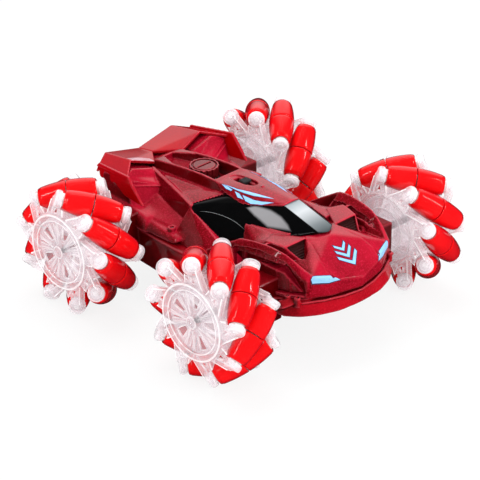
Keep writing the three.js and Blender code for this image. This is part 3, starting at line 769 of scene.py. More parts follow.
def arm_ribs(x, y, z):
    off, z, out = arm_place(y, z)
    section = np.maximum(np.abs(off - (8.7 - 3.7 * out)) - 0.55, np.abs(x - 17.2) - 2.7)
    return np.maximum(section, between(z, 25.5, 41.0))


def arm_windows(x, y, z):
    off, z, _ = arm_place(y, z)
    side = off - (0.4 + 1.7 * np.clip((34.2 - z) / 4.6, 0, 1))
    return smax(side, between(z, 30.0, 34.4), 0.8)


def lobes(radius, start, end, corner):
    def distance(x, y, z):
        y, z = fold_lobe(y, z)
        t = along(x, y, z, LOBE_FOOT, LOBE_AXIS)
        return smax(off_axis(x, y, z, LOBE_FOOT, LOBE_AXIS, t) - radius,
                    between(t, start, end), corner)
    return distance


def roller_space(x, y, z):
    """The room the nearest three rollers need, with a little clearance."""
    y, z = fold_lobe(y, z)
    total = None
    for m in (-1, 0, 1):
        a = math.radians(SECTOR_DEG * m) - math.radians(LOBE_DEG)
        middle = np.array([0, ROLLER_RING_R * math.sin(a), ROLLER_RING_R * math.cos(a)])
        axis = np.array([DIAGONAL, DIAGONAL * math.cos(a), -DIAGONAL * math.sin(a)])
        t = along(x, y, z, middle, axis)
        room = barrel(np.minimum(np.abs(t), 30)) + 0.45
        one = np.maximum(off_axis(x, y, z, middle, axis, t) - room,
                         np.abs(t) - (SLEEVE_END + 0.4))
        total = one if total is None else np.minimum(total, one)
    return total


def hub_mesh(outer):
    """Half a hub: X runs away from the wheel's middle, the first roller's middle is at angle 0
    and roller ends swing to positive angles."""
    solid = Solid((-0.9, -49.2, -49.2), (24.6, 49.2, 49.2), cell=0.62)

    def shape(distance, op="add", blend=0.0):
        solid.put((0, -48, -48), (24, 48, 48), distance, op, blend)

    shape(ring(24.9, 27.4, 0.25, 19.2))
    shape(disc(27.6, 16.6, 18.4))
    if outer:
        shape(ring(23.4, 28.7, 16.8, 19.7, 0.6), blend=0.5)
        shape(ring(27.1, 28.8, 17.2, 21.3, 0.8), blend=0.6)
        shape(ring(23.0, 24.2, 17.2, 20.5, 0.5), blend=0.4)
        shape(wedges(math.pi / HUB_SPOKES, 0.8, 0.20, 20.5, 1.2), "cut", 0.3)
        shape(wedges(0.0, 0.25, 0.05, 22.0, 0.4), "cut", 0.3)
        shape(paired_spokes, blend=0.4)
        shape(disc(4.8, 4.5, 21.2), blend=1.2)
        shape(disc(1.5, 20.4, 30), "cut", 0.4)
    else:
        shape(ring(26.4, 28.4, 17.2, 20.2, 0.9), blend=0.6)
        shape(disc(8.6, 8, 20.8), blend=1.2)
        shape(ring(15.5, 17.0, 17.6, 19.2, 0.6), blend=0.6)
    shape(arms, blend=0.6)
    shape(arm_ribs, blend=0.6)
    shape(arm_windows, "cut", 0.3)
    shape(lobes(6.3, -0.4, LOBE_LENGTH + 0.2, 2.2), blend=1.0)
    shape(lobes(5.0, -9.0, LOBE_LENGTH - 1.1, 0.6), "cut", 0.2)
    shape(roller_space, "cut")
    return solid.mesh(rounds=2, strength=0.5)


def hub_piece(mesh, which, outward, wheel, side, end, tilt, phase):
    """Sets half a hub on its wheel, on the outboard (+1) or inboard (-1) side."""
    verts, faces = mesh
    swing = tilt * side * outward
    a = np.arctan2(verts[:, 1], verts[:, 2]) * swing + math.radians(phase)
    r = np.hypot(verts[:, 1], verts[:, 2])
    placed = np.stack([side * WHEEL_X + side * outward * verts[:, 0],
                       end * WHEEL_Y + r * np.sin(a), WHEEL_R + r * np.cos(a)], axis=1)
    if side * outward * swing < 0:
        faces = faces[:, ::-1]
    node = f"hub_{which}_{wheel}"
    piece(node + "_fine", placed, faces, M_CLEAR, "wheel_" + wheel, "clear_plastic", node)


AXLE_PROFILE = fillet([(0, -33.2), (2.7, -33.2), (2.7, 14.5), (0, 14.5)], 0.4)
HUB_SCREW_PROFILE = fillet([(0, 12.2), (1.2, 12.2), (1.2, 15.4), (2.2, 15.4), (2.1, 16.2),
                            (0.9, 16.5), (0.7, 15.9), (0, 15.9)], 0.15)


def build_hubs():
    outer, inner = hub_mesh(True), hub_mesh(False)
    for wheel, side, end, tilt, phase in WHEELS:
        hub_piece(outer, "outer", 1, wheel, side, end, tilt, phase)
        hub_piece(inner, "inner", -1, wheel, side, end, tilt, phase)
        for name, profile in (("axle_", AXLE_PROFILE), ("hub_screw_", HUB_SCREW_PROFILE)):
            verts, faces = lathe(profile, 24)
            piece(name + wheel, place(verts, wheel_centre(side, end), (side, 0, 0)), faces,
                  M_STEEL, "wheel_" + wheel, "screw_steel")


build_rollers()
build_hubs()

# ------------------------------------------------------------------ body shell outlines
# Corner points x, y, z of convex blocks. Those not passed to both() hold the left half;
# the finished mesh is mirrored.
CANOPY = both([
    (35, 18, 75.2), (17.5, -5, 84.2), (17, -18, 84.2), (27, -29, 76.3), (33.5, -35, 67.8),
    (41, -11, 59.5), (15, -72.5, 77.4), (7.7, -82.6, 81.2), (7.5, -50, 89.6), (30, 16, 62),
    (9, -5, 86)]) + [(0, -86.9, 80.6), (0, -50, 90.3)]
NOSE = both([
    (13.8, -78, 78.3), (27.6, -91.4, 66.5), (20, -115.8, 62.2), (37, -106.9, 67.6),
    (38.8, -107, 64.9), (40, -104.5, 49.8), (25, -113, 49.8), (42, -78, 60), (42, -78, 49.8),
    (30, -60, 70), (38, -52, 49.8)
]) + [(0, -86.9, 79.2), (0, -120, 58), (0, -118.6, 49.8), (0, -60, 78)]
HOOD_BLOCK = [
    (13.8, -77.9, 78.6), (35.7, -78, 78.5), (39.4, -62.3, 79.2), (26.7, -57.5, 78.5),
    (27.6, -91.4, 66.5), (14, -77, 62), (38, -78, 62), (40, -60, 62), (27, -55, 62)]
FENDER_TOP = [
    (53.8, -44.5, 77.3), (49.8, -48.3, 80), (49.4, -57.9, 82), (48, -66.4, 82.7),
    (46.5, -74.4, 82.4), (45.3, -82.8, 81.4), (43.5, -90.5, 79), (41, -50, 74), (39, -70, 76),
    (37, -86, 72), (53.5, -60, 74), (52, -80, 72.5), (48, -92, 70), (54.5, -42, 68),
    (40, -44, 66), (37, -88, 66)]
FENDER_FRONT = [
    (45.3, -82.8, 81.4), (43.5, -90.5, 79), (42.8, -97.1, 74.7), (42.1, -102.2, 69.5),
    (42.1, -105.7, 64.4), (48, -92, 70), (37, -106.9, 67.6), (34, -90, 66), (40, -104.5, 53.6),
    (44, -98, 60), (36, -84, 60)]
FENDER_REAR = [
    (53.8, -44.5, 77.3), (54.5, -42, 68), (50.8, -45, 77.6), (54.2, -38, 71.8),
    (54.2, -28, 64.6), (52.6, -12, 57), (52.2, -10, 49.8), (49, -12, 49.8), (50.8, -28, 63.6),
    (50.8, -38, 71), (52, -48, 49.8), (49, -48, 49.8), (50, -47, 76)]
DOOR = [
    (27.2, -29.2, 76.2), (33.8, -35.2, 67.9), (18.6, -58, 77.5), (27, -57.5, 77.4),
    (39, -52, 71.5), (40, -60, 72), (34, -36.5, 56), (30, -58, 56), (44, -60, 56), (41, -42, 56)]
SIDE = [
    (49, -12, 58.6), (52, -10, 49.8), (38, -12, 49.8), (41.4, -11, 59.3), (35.4, 18, 74.6),
    (34, 18, 49.8), (46, 20, 49.8), (43, 22, 60), (50, -50, 54), (52, -50, 49.8),
    (38, -50, 49.8), (38, -36, 57)]
LOWER_FRONT = [
    (52.4, -48, 62), (53.2, -60, 72), (52, -80, 71), (48, -92, 68.5), (44, -99, 60),
    (40.4, -104.5, 54), (40, -104.5, 49.8), (49, -92, 49.8), (52, -80, 49.8), (52.6, -48, 49.8),
    (36, -52, 49.8), (36, -52, 62), (30, -104, 49.8), (36, -84, 70)]
ROOF = both([
    (7.7, -50.2, 90.4), (14.2, 6.7, 89), (14.6, 13.4, 88.4), (8.2, -48.4, 88.9),
    (16.5, 6.7, 85.6), (11.6, -20, 90.5), (19.9, -21.6, 84.2), (18.4, -4.8, 84.3)
]) + [(0, -50.6, 92.2), (0, -20, 92)]
RAIL = both([
    (14.4, 6.7, 88.6), (14.6, 13.4, 88.3), (14.2, 27, 88.8), (14.0, 48.6, 87.0),
    (13.8, 62, 84.8), (13.0, 78, 82.6), (16.6, 6.7, 79), (16.2, 48, 76), (14.6, 80, 76),
    (11, 86, 79)])
SLOPE = [
    (0, 4, 83), (15, 4, 82.6), (15.8, 30, 80.4), (15.2, 60, 78.2), (12, 88, 75), (0, 92, 75.5),
    (34.2, 18.6, 74.4), (27.4, 41, 75), (19.6, 74, 76.6), (18, 90, 73), (32, 18, 60),
    (26, 41, 60), (19, 76, 60), (0, 92, 60), (0, 2, 60), (16, 92, 60)]
SHOULDER = [
    (17.5, -5, 83.8), (35, 18, 75.4), (30.8, 32, 75.6), (16.2, -2, 83.2), (15.6, 12, 82.6),
    (17.5, 22, 80.6), (24.5, 34, 77.2), (29, 37, 75.6), (30, 30, 68), (33, 18, 68), (16, 10, 70)]
UPPER = [
    (35, 18, 75.2), (28, 41, 75.9), (20, 74, 78.6), (34.6, 17, 62), (37.0, 19, 58),
    (33.2, 43, 60), (27.8, 76, 62), (18, 90, 74), (0, 90, 70), (0, 20, 70), (36, 19, 49.8),
    (34, 44, 49.8), (30, 80, 49.8), (0, 96, 49.8), (0, 20, 49.8)]
FLARE = [
    (33.4, 41, 65.4), (37.2, 20, 61.5), (28.5, 74, 70.5), (31, 92, 70), (45, 96, 64),
    (46.6, 44, 59.4), (43.2, 20, 57.2), (47.4, 96, 49.8), (48, 42, 49.8), (40, 14, 49.8),
    (33, 108, 66), (34, 111, 53.6), (33.6, 110, 49.8), (0, 112, 49.8), (0, 96, 66), (30, 30, 52)]
TIER_FRONT = [
    (37, 11, 57.6), (44, 9, 56.6), (53.4, 15, 54.4), (54.8, 20, 52), (54.8, 56, 57),
    (53, 58, 60.4), (40, 58, 62.6), (38, 12, 49.8), (54.8, 16, 49.8), (54.8, 58, 49.8),
    (38, 58, 49.8)]
TIER_REAR = [
    (54.8, 44, 56), (53, 45, 59), (53, 62, 64.5), (54.8, 62, 62), (54.8, 92, 64), (46, 100, 66),
    (40, 96, 67), (40, 45, 60), (54.8, 44, 49.8), (54.8, 88, 49.8), (48, 98, 49.8),
    (40, 44, 49.8), (40, 98, 49.8)]
# deck and walls under the wing, from its front edge down to a ledge and the flank
DECK_TOP = [
    (49.5, 71.5, 82.4), (39, 73.7, 85.5), (20, 73.2, 80), (42, 70.5, 81.2), (49.5, 70.0, 80.6),
    (21, 67, 75.4), (39, 95, 83), (20, 95, 77.5), (49.5, 95, 79), (49.5, 71, 66), (21, 69, 66),
    (49.5, 98, 66), (18, 98, 66)]
DECK_MIDDLE = [
    (49.5, 70.0, 80.6), (42, 70.5, 81.0), (21, 67, 75.2), (50, 70.0, 77.4), (44, 67.9, 76),
    (23, 58.2, 72.1), (50, 70.5, 62), (23, 60, 62), (50, 95, 66), (18, 95, 66), (18, 75, 74),
    (49.5, 80, 78)]
DECK_LOW = [
    (50.4, 69.2, 76.6), (44, 66.2, 75.4), (22.6, 57.6, 71.6), (50.4, 62, 58), (44, 58, 58),
    (25, 53, 60), (50.4, 84, 76), (20, 80, 72), (50.4, 84, 58), (20, 80, 58)]
LEDGE = [
    (50.4, 70.6, 77.9), (44, 67.6, 76.5), (22.4, 57.9, 72.6), (50.4, 68.6, 77.5),
    (44, 65.8, 76.1), (22.4, 56.3, 72.2), (50.4, 70.6, 76.8), (44, 67.6, 75.4),
    (22.4, 57.9, 71.5), (50.4, 68.6, 76.5), (44, 65.8, 75.1), (22.4, 56.3, 71.2)]
REAR = both([
    (33, 108, 71), (31, 90, 72.5), (24, 92, 74), (34, 111, 53.6), (33.6, 110.6, 49.8),
    (30, 86, 49.8), (14, 90, 75.5)
]) + [(0, 111.5, 72), (0, 92, 75.5), (0, 113.4, 60), (0, 112.5, 49.8)]
FILLER_WELL = both([(x, y, z) for z in (77.4, 99) for x, y in ((12.3, 16), (11.9, 60), (4.0, 79))])
# height of the fender's ridge along y
RIDGE_Y = np.array([-112.0, -105.7, -102.2, -97.1, -90.5, -82.8, -74.4, -66.4, -57.9, -48.3,
                    -44.5, -38.0])
RIDGE_Z = np.array([52.0, 64.4, 69.5, 74.7, 79.0, 81.4, 82.4, 82.7, 82.0, 80.0, 77.3, 66.0])
BEAM_LINE = [(34.2, 17.5), (27.0, 41.0), (18.6, 75.0)]   # x, y

# triangular opening at the front of each hood block
INTAKE = [np.array(p) for p in ((13.8, -78, 78.3), (35.7, -78, 78.5), (27.6, -91.4, 66.5))]
INTAKE_MIDDLE = sum(INTAKE) / 3
INTAKE_OUT = np.cross(INTAKE[2] - INTAKE[0], INTAKE[1] - INTAKE[0])
INTAKE_OUT = INTAKE_OUT / np.linalg.norm(INTAKE_OUT)


def intake_triangle(scale):
    return [INTAKE_MIDDLE + (p - INTAKE_MIDDLE) * scale for p in INTAKE]


# ------------------------------------------------------------------ body shell
def polyline_distance(x, y, points):
    best = None
    for (x0, y0), (x1, y1) in zip(points, points[1:]):
        dx, dy = x1 - x0, y1 - y0
        t = np.clip(((x - x0) * dx + (y - y0) * dy) / (dx * dx + dy * dy), 0, 1)
        d = np.sqrt((x - x0 - t * dx) ** 2 + (y - y0 - t * dy) ** 2)
        best = d if best is None else np.minimum(best, d)
    return best


def door_skin(x, y, z):
    """Steep at the window's corner, lying flat where it reaches the hood block."""
    t = np.clip((-y - 32) / 29, -0.1, 1.1)   # share of the way forward
    for _ in range(2):
        edge_x = 33.8 + 5.4 * t
        u = np.clip((x - 27) / (edge_x - 27), 0.0, 1.35)   # share of the way outward
        line_y = (-29.2 - 31.8 * t) * (1 - u) + (-35.2 - 27.4 * t) * u
        t = np.clip(t + (line_y - y) / 32, -0.1, 1.15)
    top = (76.2 + 1.6 * t) * (1 - u) + (67.9 + 9.6 * t) * u
    back = y + 29.2 + 0.88 * (x - 27.2)
    bounds = smax(-66.0 - y, x - 42.5, 0.5)
    return smax(smax((z - top) * 0.85, back * 0.75, 0.3), bounds, 0.5) + np.maximum(0, 60 - z)


def cut_arch(solid):
    """Recess along the fender's side, with upright ribs left standing slightly proud."""
    part, (x, y, z) = solid.window((39, -105, 51), (58, -43, 84), 2.0)
    ridge = np.interp(y, RIDGE_Y, RIDGE_Z).astype(np.float32)
    region = smax(z - (ridge - 5.2), 52.0 - z, 0.6)
    region = smax(region, smax(y + 45.5, -103.0 - y, 0.6), 0.6)
    region = smax(region, 39.0 - x, 0.4)
    pitch, rib_half, depth, rib_depth = 9.0, 0.5, 3.0, 2.75
    lean = y + 74.0 + (z - 60) * (-0.12)
    rib = np.abs(lean - pitch * np.round(lean / pitch)) - rib_half
    inner = solid.field[part] + np.where(rib < 0, rib_depth, depth).astype(np.float32)
    solid.field[part] = smax(solid.field[part], smin(-region, inner, 0.5), 0.4)


def beam(x, y, z):
    """Narrow raised strip from the window's corner back to the wing."""
    side = polyline_distance(x, y, BEAM_LINE) - 1.7
    top = np.interp(y, [17, 41, 75], [75.9, 76.9, 79.4]).astype(np.float32)
    body = smax(smax(side, z - top, 0.5), smax(15.0 - y, y - 79.0, 0.4), 0.4)
    return body + np.maximum(0, 68 - z)


def switch_oval(x, y, z):
    width = 4.7 * np.sqrt(np.maximum(1 - np.abs((y + 1.2) / 13.2) ** 3.2, 0.001))
    side = (np.abs(x) - width) * 0.8
    return smax(smax(side, np.abs(y + 1.2) - 13.0, 0.4), 88.1 - z, 0.4)


def body_mesh():
    solid = Solid((0, -123.2, 47.2), (58.1, 116.2, 95.5), cell=0.7)

    # front half
    for points in (NOSE, HOOD_BLOCK, FENDER_TOP, FENDER_FRONT, FENDER_REAR, DOOR, SIDE,
                   LOWER_FRONT):
        solid.hull(points, blend=0.5, corner=0.7)
    solid.put((16, -66, 62), (43, -28, 80), door_skin, blend=0.5)
    cut_arch(solid)
    solid.hull(CANOPY, "cut", grow=0.35)

    # rear half: points, blend, corner
    for points, blend, corner in (
            (SLOPE, 0.3, 0.6), (SHOULDER, 0.25, 0.4), (UPPER, 0.3, 0.5), (FLARE, 0.35, 0.6),
            (REAR, 0.5, 0.7), (RAIL, 0.3, 0.6), (TIER_FRONT, 3.0, 4.0), (TIER_REAR, 2.0, 2.5)):
        solid.hull(points, blend=blend, corner=corner)
    # the rear blocks reach into the canopy's seat, so it is cut again
    solid.hull(CANOPY, "cut", grow=0.35)
    solid.put((15, 13, 68), (38, 81, 82), beam, blend=0.2)
    for points, blend, corner in (
            (DECK_TOP, 0.3, 0.5), (DECK_MIDDLE, 1.2, 0.6), (DECK_LOW, 0.3, 0.5),
            (LEDGE, 0.2, 0.25), (ROOF, 0.25, 0.6)):
        solid.hull(points, blend=blend, corner=corner)

    # filler well with a round seat and two bosses
    solid.hull(FILLER_WELL, "cut", blend=0.4, corner=0.7)
    solid.post(0, CAP_Y, 70, 80, 11.6, "cut", 0.3)
    solid.post(6.2, 21.5, 76, 78.8, 1.5, blend=0.4)

    # oval switch recess with its slot, and a small stud ahead of it
    solid.put((0, -15, 88), (6, 13, 95), switch_oval, "cut", 0.25)
    solid.box((-2.3, -11.5, 80), (2.3, 7, 90), "cut", 0.1, 0.2)
    solid.post(0, -20.6, 91.2, 92.6, 1.1, blend=0.3)

    triangle = intake_triangle(0.86)
    solid.hull([tuple(p + INTAKE_OUT * 3.0) for p in triangle]
               + [tuple(p - INTAKE_OUT * 6.5) for p in triangle], "cut", blend=0.25, corner=0.3)

    # hood creases, nose edge line and the upright groove at the nose's corner
    solid.path([(15.0, -81.5, 77.8), (21.4, -98.1, 72.8), (23.6, -107.0, 67.7),
                (22.8, -112.2, 63.4)], 0.75)
    solid.path([(0, -119.9, 59.4), (20, -116.4, 59.6), (37.5, -107.6, 64.0)], 0.5)
    solid.path([(39.4, -106.4, 63.5), (39.6, -105.9, 50.0)], 0.7)

    # parting line above the tray
    for y0, y1 in ((-100, -52), (22, 90)):
        solid.box((36, y0, 50.6), (60, y1, 51.2), "cut", 0.1, 0.1)
    solid.post(*TIER_SCREW, 54, 59.4, 2.9, blend=0.6)
    solid.post(*TIER_SCREW, 57.4, 62, 1.6, "cut", 0.2)
    solid.cut_below(49.7)
    return solid.mesh(mirror=True)


BODY = body_mesh()
piece("body_shell_fine", *BODY, M_SHELL, "car", "shell_plastic", "body_shell")


# ------------------------------------------------------------------ canopy
def canopy_mesh():
    solid = Solid((0, -90.3, 57.4), (43.4, 20.3, 93.0), cell=0.7)
    solid.hull(CANOPY, blend=0.0, corner=0.55)
    solid.path([(36.2, 12.5, 72.6), (30.5, -8, 77.4), (37.2, -22, 64.2)], 0.35, blend=0.15)
    # room for the roof plate
    solid.box((-12.6, -21.6, 40), (12.6, 40, 99), "cut", 0.1, 0.3)
    return solid.mesh(mirror=True, rounds=2, strength=0.45)


CANOPY_MESH = canopy_mesh()
piece("canopy_fine", *CANOPY_MESH, M_BLACK, "car", "canopy_plastic", "canopy")

# ------------------------------------------------------------------ rear wing
# corners of the outer top panel
INNER_REAR, INNER_FRONT = (33.2, 111.5, 83.6), (34.7, 81, 88.5)
OUTER_REAR, OUTER_FRONT = (46.6, 104, 80), (51.6, 66, 84.5)
WING_END = [(53.1, 64.2, 87.3), (46.9, 103.9, 82.3), (54, 59.9, 81.4), (53.3, 48.4, 68.8),
            (50, 74, 68.2), (47.4, 102, 72.4)]


def build_wing():
    solid = Solid((0, 44.1, 62.1), (57.1, 119.7, 92.1), cell=0.6)
    outer_panel = [INNER_REAR, INNER_FRONT, OUTER_REAR, OUTER_FRONT]
    middle_panel = [INNER_FRONT, INNER_REAR, (14.2, 78, 81.6), (0, 96, 78.6), (0, 112, 75.6)]
    # rear skirts share the inner edge
    edge = [INNER_REAR, (INNER_REAR[0], INNER_REAR[1] - 2.4, INNER_REAR[2]),
            (33.8, 115.6, 74.6), (33.8, 113.2, 74.6)]
    outer_skirt = edge + [OUTER_REAR, (OUTER_REAR[0] - 0.6, OUTER_REAR[1] - 2.4, OUTER_REAR[2]),
                          (46.9, 106.4, 74.6), (46.4, 104, 74.6)]
    middle_skirt = edge + [(0, 112, 75.6), (0, 109.6, 75.6), (0, 113.4, 71), (0, 111, 71)]
    for points in (thick(outer_panel, 0, -2.3), thick(middle_panel, 0, -2.4), outer_skirt,
                   middle_skirt, thick(WING_END, -2.0, 0)):
        solid.hull(points, blend=0.3, corner=0.4)
    # raised lip along the outer edge, and a shallow groove along the inner one
    lip = [(p[0] + 0.2, p[1], p[2] + 0.2) for p in (OUTER_REAR, OUTER_FRONT)]
    solid.path(lip, 0.9, "add", 0.3)
    solid.path([(34.2, 110, 84.6), (35.6, 83, 89.0)], 0.45, blend=0.2)
    piece("rear_wing_fine", *solid.mesh(mirror=True), M_WING, "car", "shell_plastic", "rear_wing")


build_wing()

# ------------------------------------------------------------------ chassis tray
TRAY = both([
    (52, -62, 20), (53.5, 20, 20), (48, 84, 20), (30, 92, 20), (34, -70, 21), (36, -94, 38),
    (55, -86, 49.2), (56, 20, 49.2), (50, 98, 49.2), (34, 108, 49.2), (40, -104.5, 49.2)])
BUMPER = both([
    (15, -115.6, 47.2), (30, -110.6, 47.2), (44.6, -102.4, 47.2), (52, -94, 47.2),
    (21.1, -117.7, 38), (35.4, -112.4, 38), (47.1, -104.7, 38), (55.5, -94.6, 38),
    (57.4, -90, 40), (40, -84, 40), (40, -84, 47.2)]) + [(0, -118, 47.2), (0, -119.4, 38)]
FRONT_CORNER = [
    (56.5, -98, 46), (44, -103.4, 49.4), (57.5, -94, 45), (55, -91, 50.4), (44, -97, 50.0),
    (44, -92, 40), (57, -90, 42)]


def add_pod(solid, wheel_y):
    """Gearbox pod beside a wheel, its foot, axle collar and screw bosses."""
    # x, half width, bottom and top of the inboard and outboard ends
    ends = ((38, 15.2, 33.0, 61.8), (68.9, 14.6, 33.4, 61.6))
    solid.hull([(x, wheel_y + dy, z) for x, half, bottom, top in ends
                for z in (bottom, top) for dy in (-half, half)]
               + [(68.4, wheel_y, 31.8), (38, wheel_y, 31.8)], blend=0.8, corner=1.2)
    # x, half width, z
    foot = ((47, 8, 22), (54, 9, 38), (36, 8, 22))
    solid.hull([(x, wheel_y + dy, z) for x, half, z in foot for dy in (-half, half)]
               + [(36, wheel_y, 40)], blend=1.2, corner=1.2)

    def bore(x0, x1, radius, op, blend, dy=0, dz=0):
        y, z = wheel_y + dy, WHEEL_R + dz
        solid.rod((x0, y, z), (x1, y, z), radius, op, blend)

    bore(60, 70.2, 8.2, "add", 0.8)
    bore(60, 76, 4.2, "cut", 0.3)
    for dy, dz in POD_SCREWS:
        bore(66, 70.2, 2.5, "add", 0.5, dy, dz)
        bore(68.8, 72, 1.5, "cut", 0.2, dy, dz)


def build_tray():
    solid = Solid((0, -122.4, 17.6), (71.8, 114.0, 63.2), cell=0.8)
    solid.hull(TRAY, blend=0.5, corner=1.2)
    solid.hull(BUMPER, blend=0.6, corner=0.9)
    solid.hull(FRONT_CORNER, blend=0.8, corner=1.0)
    for end in (-1, 1):
        add_pod(solid, end * WHEEL_Y)
    # battery opening
    solid.box((-17, -27, 10), (17, 31, 44), "cut", 0.3, 0.4)
    # bead along the bumper's top edge
    solid.path([(0, -118.4, 47.6), (15, -116.0, 47.6), (30, -110.9, 47.6), (45, -102.6, 47.6)],
               0.9, "add", 0.4)
    for x, y, z in CORNER_SCREWS:
        solid.post(x, y, 45, z + 4.0, 2.3, blend=0.6)
        solid.post(x, y, z + 1.5, z + 8, 1.2, "cut", 0.2)
    # ribs, screw bosses and slots in the floor
    for y in (-58, -44, 44, 58):
        solid.box((-34, y - 0.9, 18.9), (34, y + 0.9, 22), blend=0.4)
    for x in (24, 38):
        solid.box((x - 0.9, -60, 18.9), (x + 0.9, 72, 22), blend=0.4)
    for x, y in FLOOR_SCREWS:
        solid.post(x, y, 18.8, 22, 3.4)
        solid.post(x, y, 16, 20.6, 1.9, "cut", 0.2)
    for j in range(5):
        solid.box((-9, -92 + 3.2 * j, 10), (9, -90.6 + 3.2 * j, 27), "cut", 0.1, 0.2)
    solid.cut_below(18.7)
    piece("chassis_tray_fine", *solid.mesh(mirror=True), M_TRAY, "car", "tray_plastic",
          "chassis_tray")


build_tray()


# ------------------------------------------------------------------ draped decals
def bvh_of(verts, faces):
    return BVHTree.FromPolygons([tuple(v) for v in verts],
                                [tuple(int(i) for i in f) for f in faces], all_triangles=False)


BODY_BVH = bvh_of(*BODY)
FILM_STEP = 0.9         # spacing of the film's grid
FILM_THICKNESS = 0.12


def face_up(face):
    """Vertex indices of a flat face, turned to wind upwards."""
    indices = [v.index for v in face.verts]
    return indices[::-1] if face.normal.z < 0 else indices


def drape(name, outlines, material, lift, direction=(0, 0, -1)):
    """Thin film over the shell: outlines seen along the direction, filled, cut to a fine grid
    and laid down along it."""
    down = Vector(direction).normalized()
    plan_up = Vector((0, -down.z, down.y))
    bm = bmesh.new()
    for outline in outlines:
        bm.faces.new([bm.verts.new((p[0], p[1], 0)) for p in outline])
    bmesh.ops.triangulate(bm, faces=bm.faces[:])
    spans = [[v.co[axis] for v in bm.verts] for axis in (0, 1)]
    for axis, span in enumerate(spans):
        for t in np.arange(min(span) + FILM_STEP, max(span), FILM_STEP):
            point, normal = [0, 0, 0], [0, 0, 0]
            point[axis], normal[axis] = t, 1
            bmesh.ops.bisect_plane(bm, geom=bm.verts[:] + bm.edges[:] + bm.faces[:],
                                   plane_co=point, plane_no=normal, dist=1e-5)
    bmesh.ops.remove_doubles(bm, verts=bm.verts[:], dist=1e-4)
    bm.verts.ensure_lookup_table()
    top = []
    for v in bm.verts:
        start = Vector((v.co.x, 0, 0)) + plan_up * v.co.y
        hit, normal, _, _ = BODY_BVH.ray_cast(start - down * 200, down)
        top.append(hit + normal * lift if hit is not None else start)
    count = len(top)
    verts = [tuple(p) for p in top] + [tuple(p + down * FILM_THICKNESS) for p in top]
    faces = []
    for face in bm.faces:
        indices = face_up(face)
        faces.append(indices)
        faces.append([i + count for i in indices[::-1]])
    for edge in bm.edges:
        if len(edge.link_faces) == 1:
            a, b = edge.verts[0].index, edge.verts[1].index
            indices = face_up(edge.link_faces[0])
            if indices[(indices.index(a) + 1) % len(indices)] != b:
                a, b = b, a
            faces.append([b, a, a + count, b + count])
    bm.free()
    piece(name, verts, faces, material, "car", "shell_plastic", smooth=False)


def grown(outline, distance):
    """Outline pushed outwards, corner by corner."""
    points = np.array(outline, float)
    count = len(points)
    following = [points[(i + 1) % count] for i in range(count)]
    area = 0.5 * sum(p[0] * q[1] - q[0] * p[1] for p, q in zip(points, following))
    sign = 1 if area > 0 else -1
    out = []
    for i in range(count):
        a, b = points[i] - points[i - 1], following[i] - points[i]
        normal_a = np.array([a[1], -a[0]]) / np.linalg.norm(a) * sign
        normal_b = np.array([b[1], -b[0]]) / np.linalg.norm(b) * sign
        corner = normal_a + normal_b
        corner /= max(np.linalg.norm(corner), 1e-6)
        reach = min(distance / max(corner @ normal_a, 0.35), 2.2 * distance)
        out.append(tuple(points[i] + corner * reach))
    return out


def mirrored(outline):
    return [(-x, y) for x, y in outline][::-1]


def chevron(y, width, thickness, sweep):
    arm = [(0, y), (width, y + sweep), (width, y + sweep + thickness), (0, y + thickness * 1.35)]
    return [arm, mirrored(arm)]


# flame shapes on the left half of the roof, x and y
FLAMES = [
    [(14.2, 6.6), (14.1, 0.5), (14.7, -4.6), (15.5, -4.2), (15.5, 1.2)],
    [(14.8, -7.3), (14.9, -11.8), (16.8, -18.0), (17.2, -12.7)],
    [(14.8, -15.2), (14.6, -20.5), (14.2, -26.2), (12.6, -32.6), (9.6, -41.2), (14.0, -34.2),
     (17.0, -25.6), (17.0, -20.4)],
    [(13.7, 5.0), (12.9, -8.4), (11.9, -18.6), (9.9, -29.0), (6.8, -38.6), (9.6, -32.0),
     (12.0, -24.0), (13.2, -16.0), (13.7, -8.0)],
]
# lamp corners x, y, z, and the direction its film is laid down along
LAMP_DOWN = Vector((0, 0.57, -0.82)).normalized()
LAMP_CORNERS = ((38.6, -106.3, 65.4), (37.0, -106.6, 67.6), (24.9, -111.0, 65.4),
                (19.4, -115.8, 61.9), (27, -112.4, 61.0), (37.9, -107.4, 63.0))
OUTLINE_LIFT, FILM_LIFT = 0.06, 0.16


def build_decals():
    """Blue shapes on a slightly larger dark film."""
    flames = [s for shape in FLAMES for s in (shape, mirrored(shape))]
    chevrons = (chevron(-111.6, 8.8, 2.1, 7.2) + chevron(-106.0, 7.0, 1.9, 5.8)
                + chevron(-100.8, 5.2, 1.7, 4.4))
    edges = [grown(s, 0.35) for s in flames] + [grown(s, 0.5) for s in chevrons]
    drape("decal_outline", edges, M_NAVY, OUTLINE_LIFT)
    drape("decal_film", flames + chevrons, M_BLUE, FILM_LIFT)
    lamp = [(x, y * -LAMP_DOWN.z + z * LAMP_DOWN.y) for x, y, z in LAMP_CORNERS]
    lamps = [lamp, mirrored(lamp)]
    drape("lamp_outline", [grown(s, 0.5) for s in lamps], M_NAVY, OUTLINE_LIFT, LAMP_DOWN)
    drape("lamp_film", lamps, M_BLUE, FILM_LIFT, LAMP_DOWN)


build_decals()


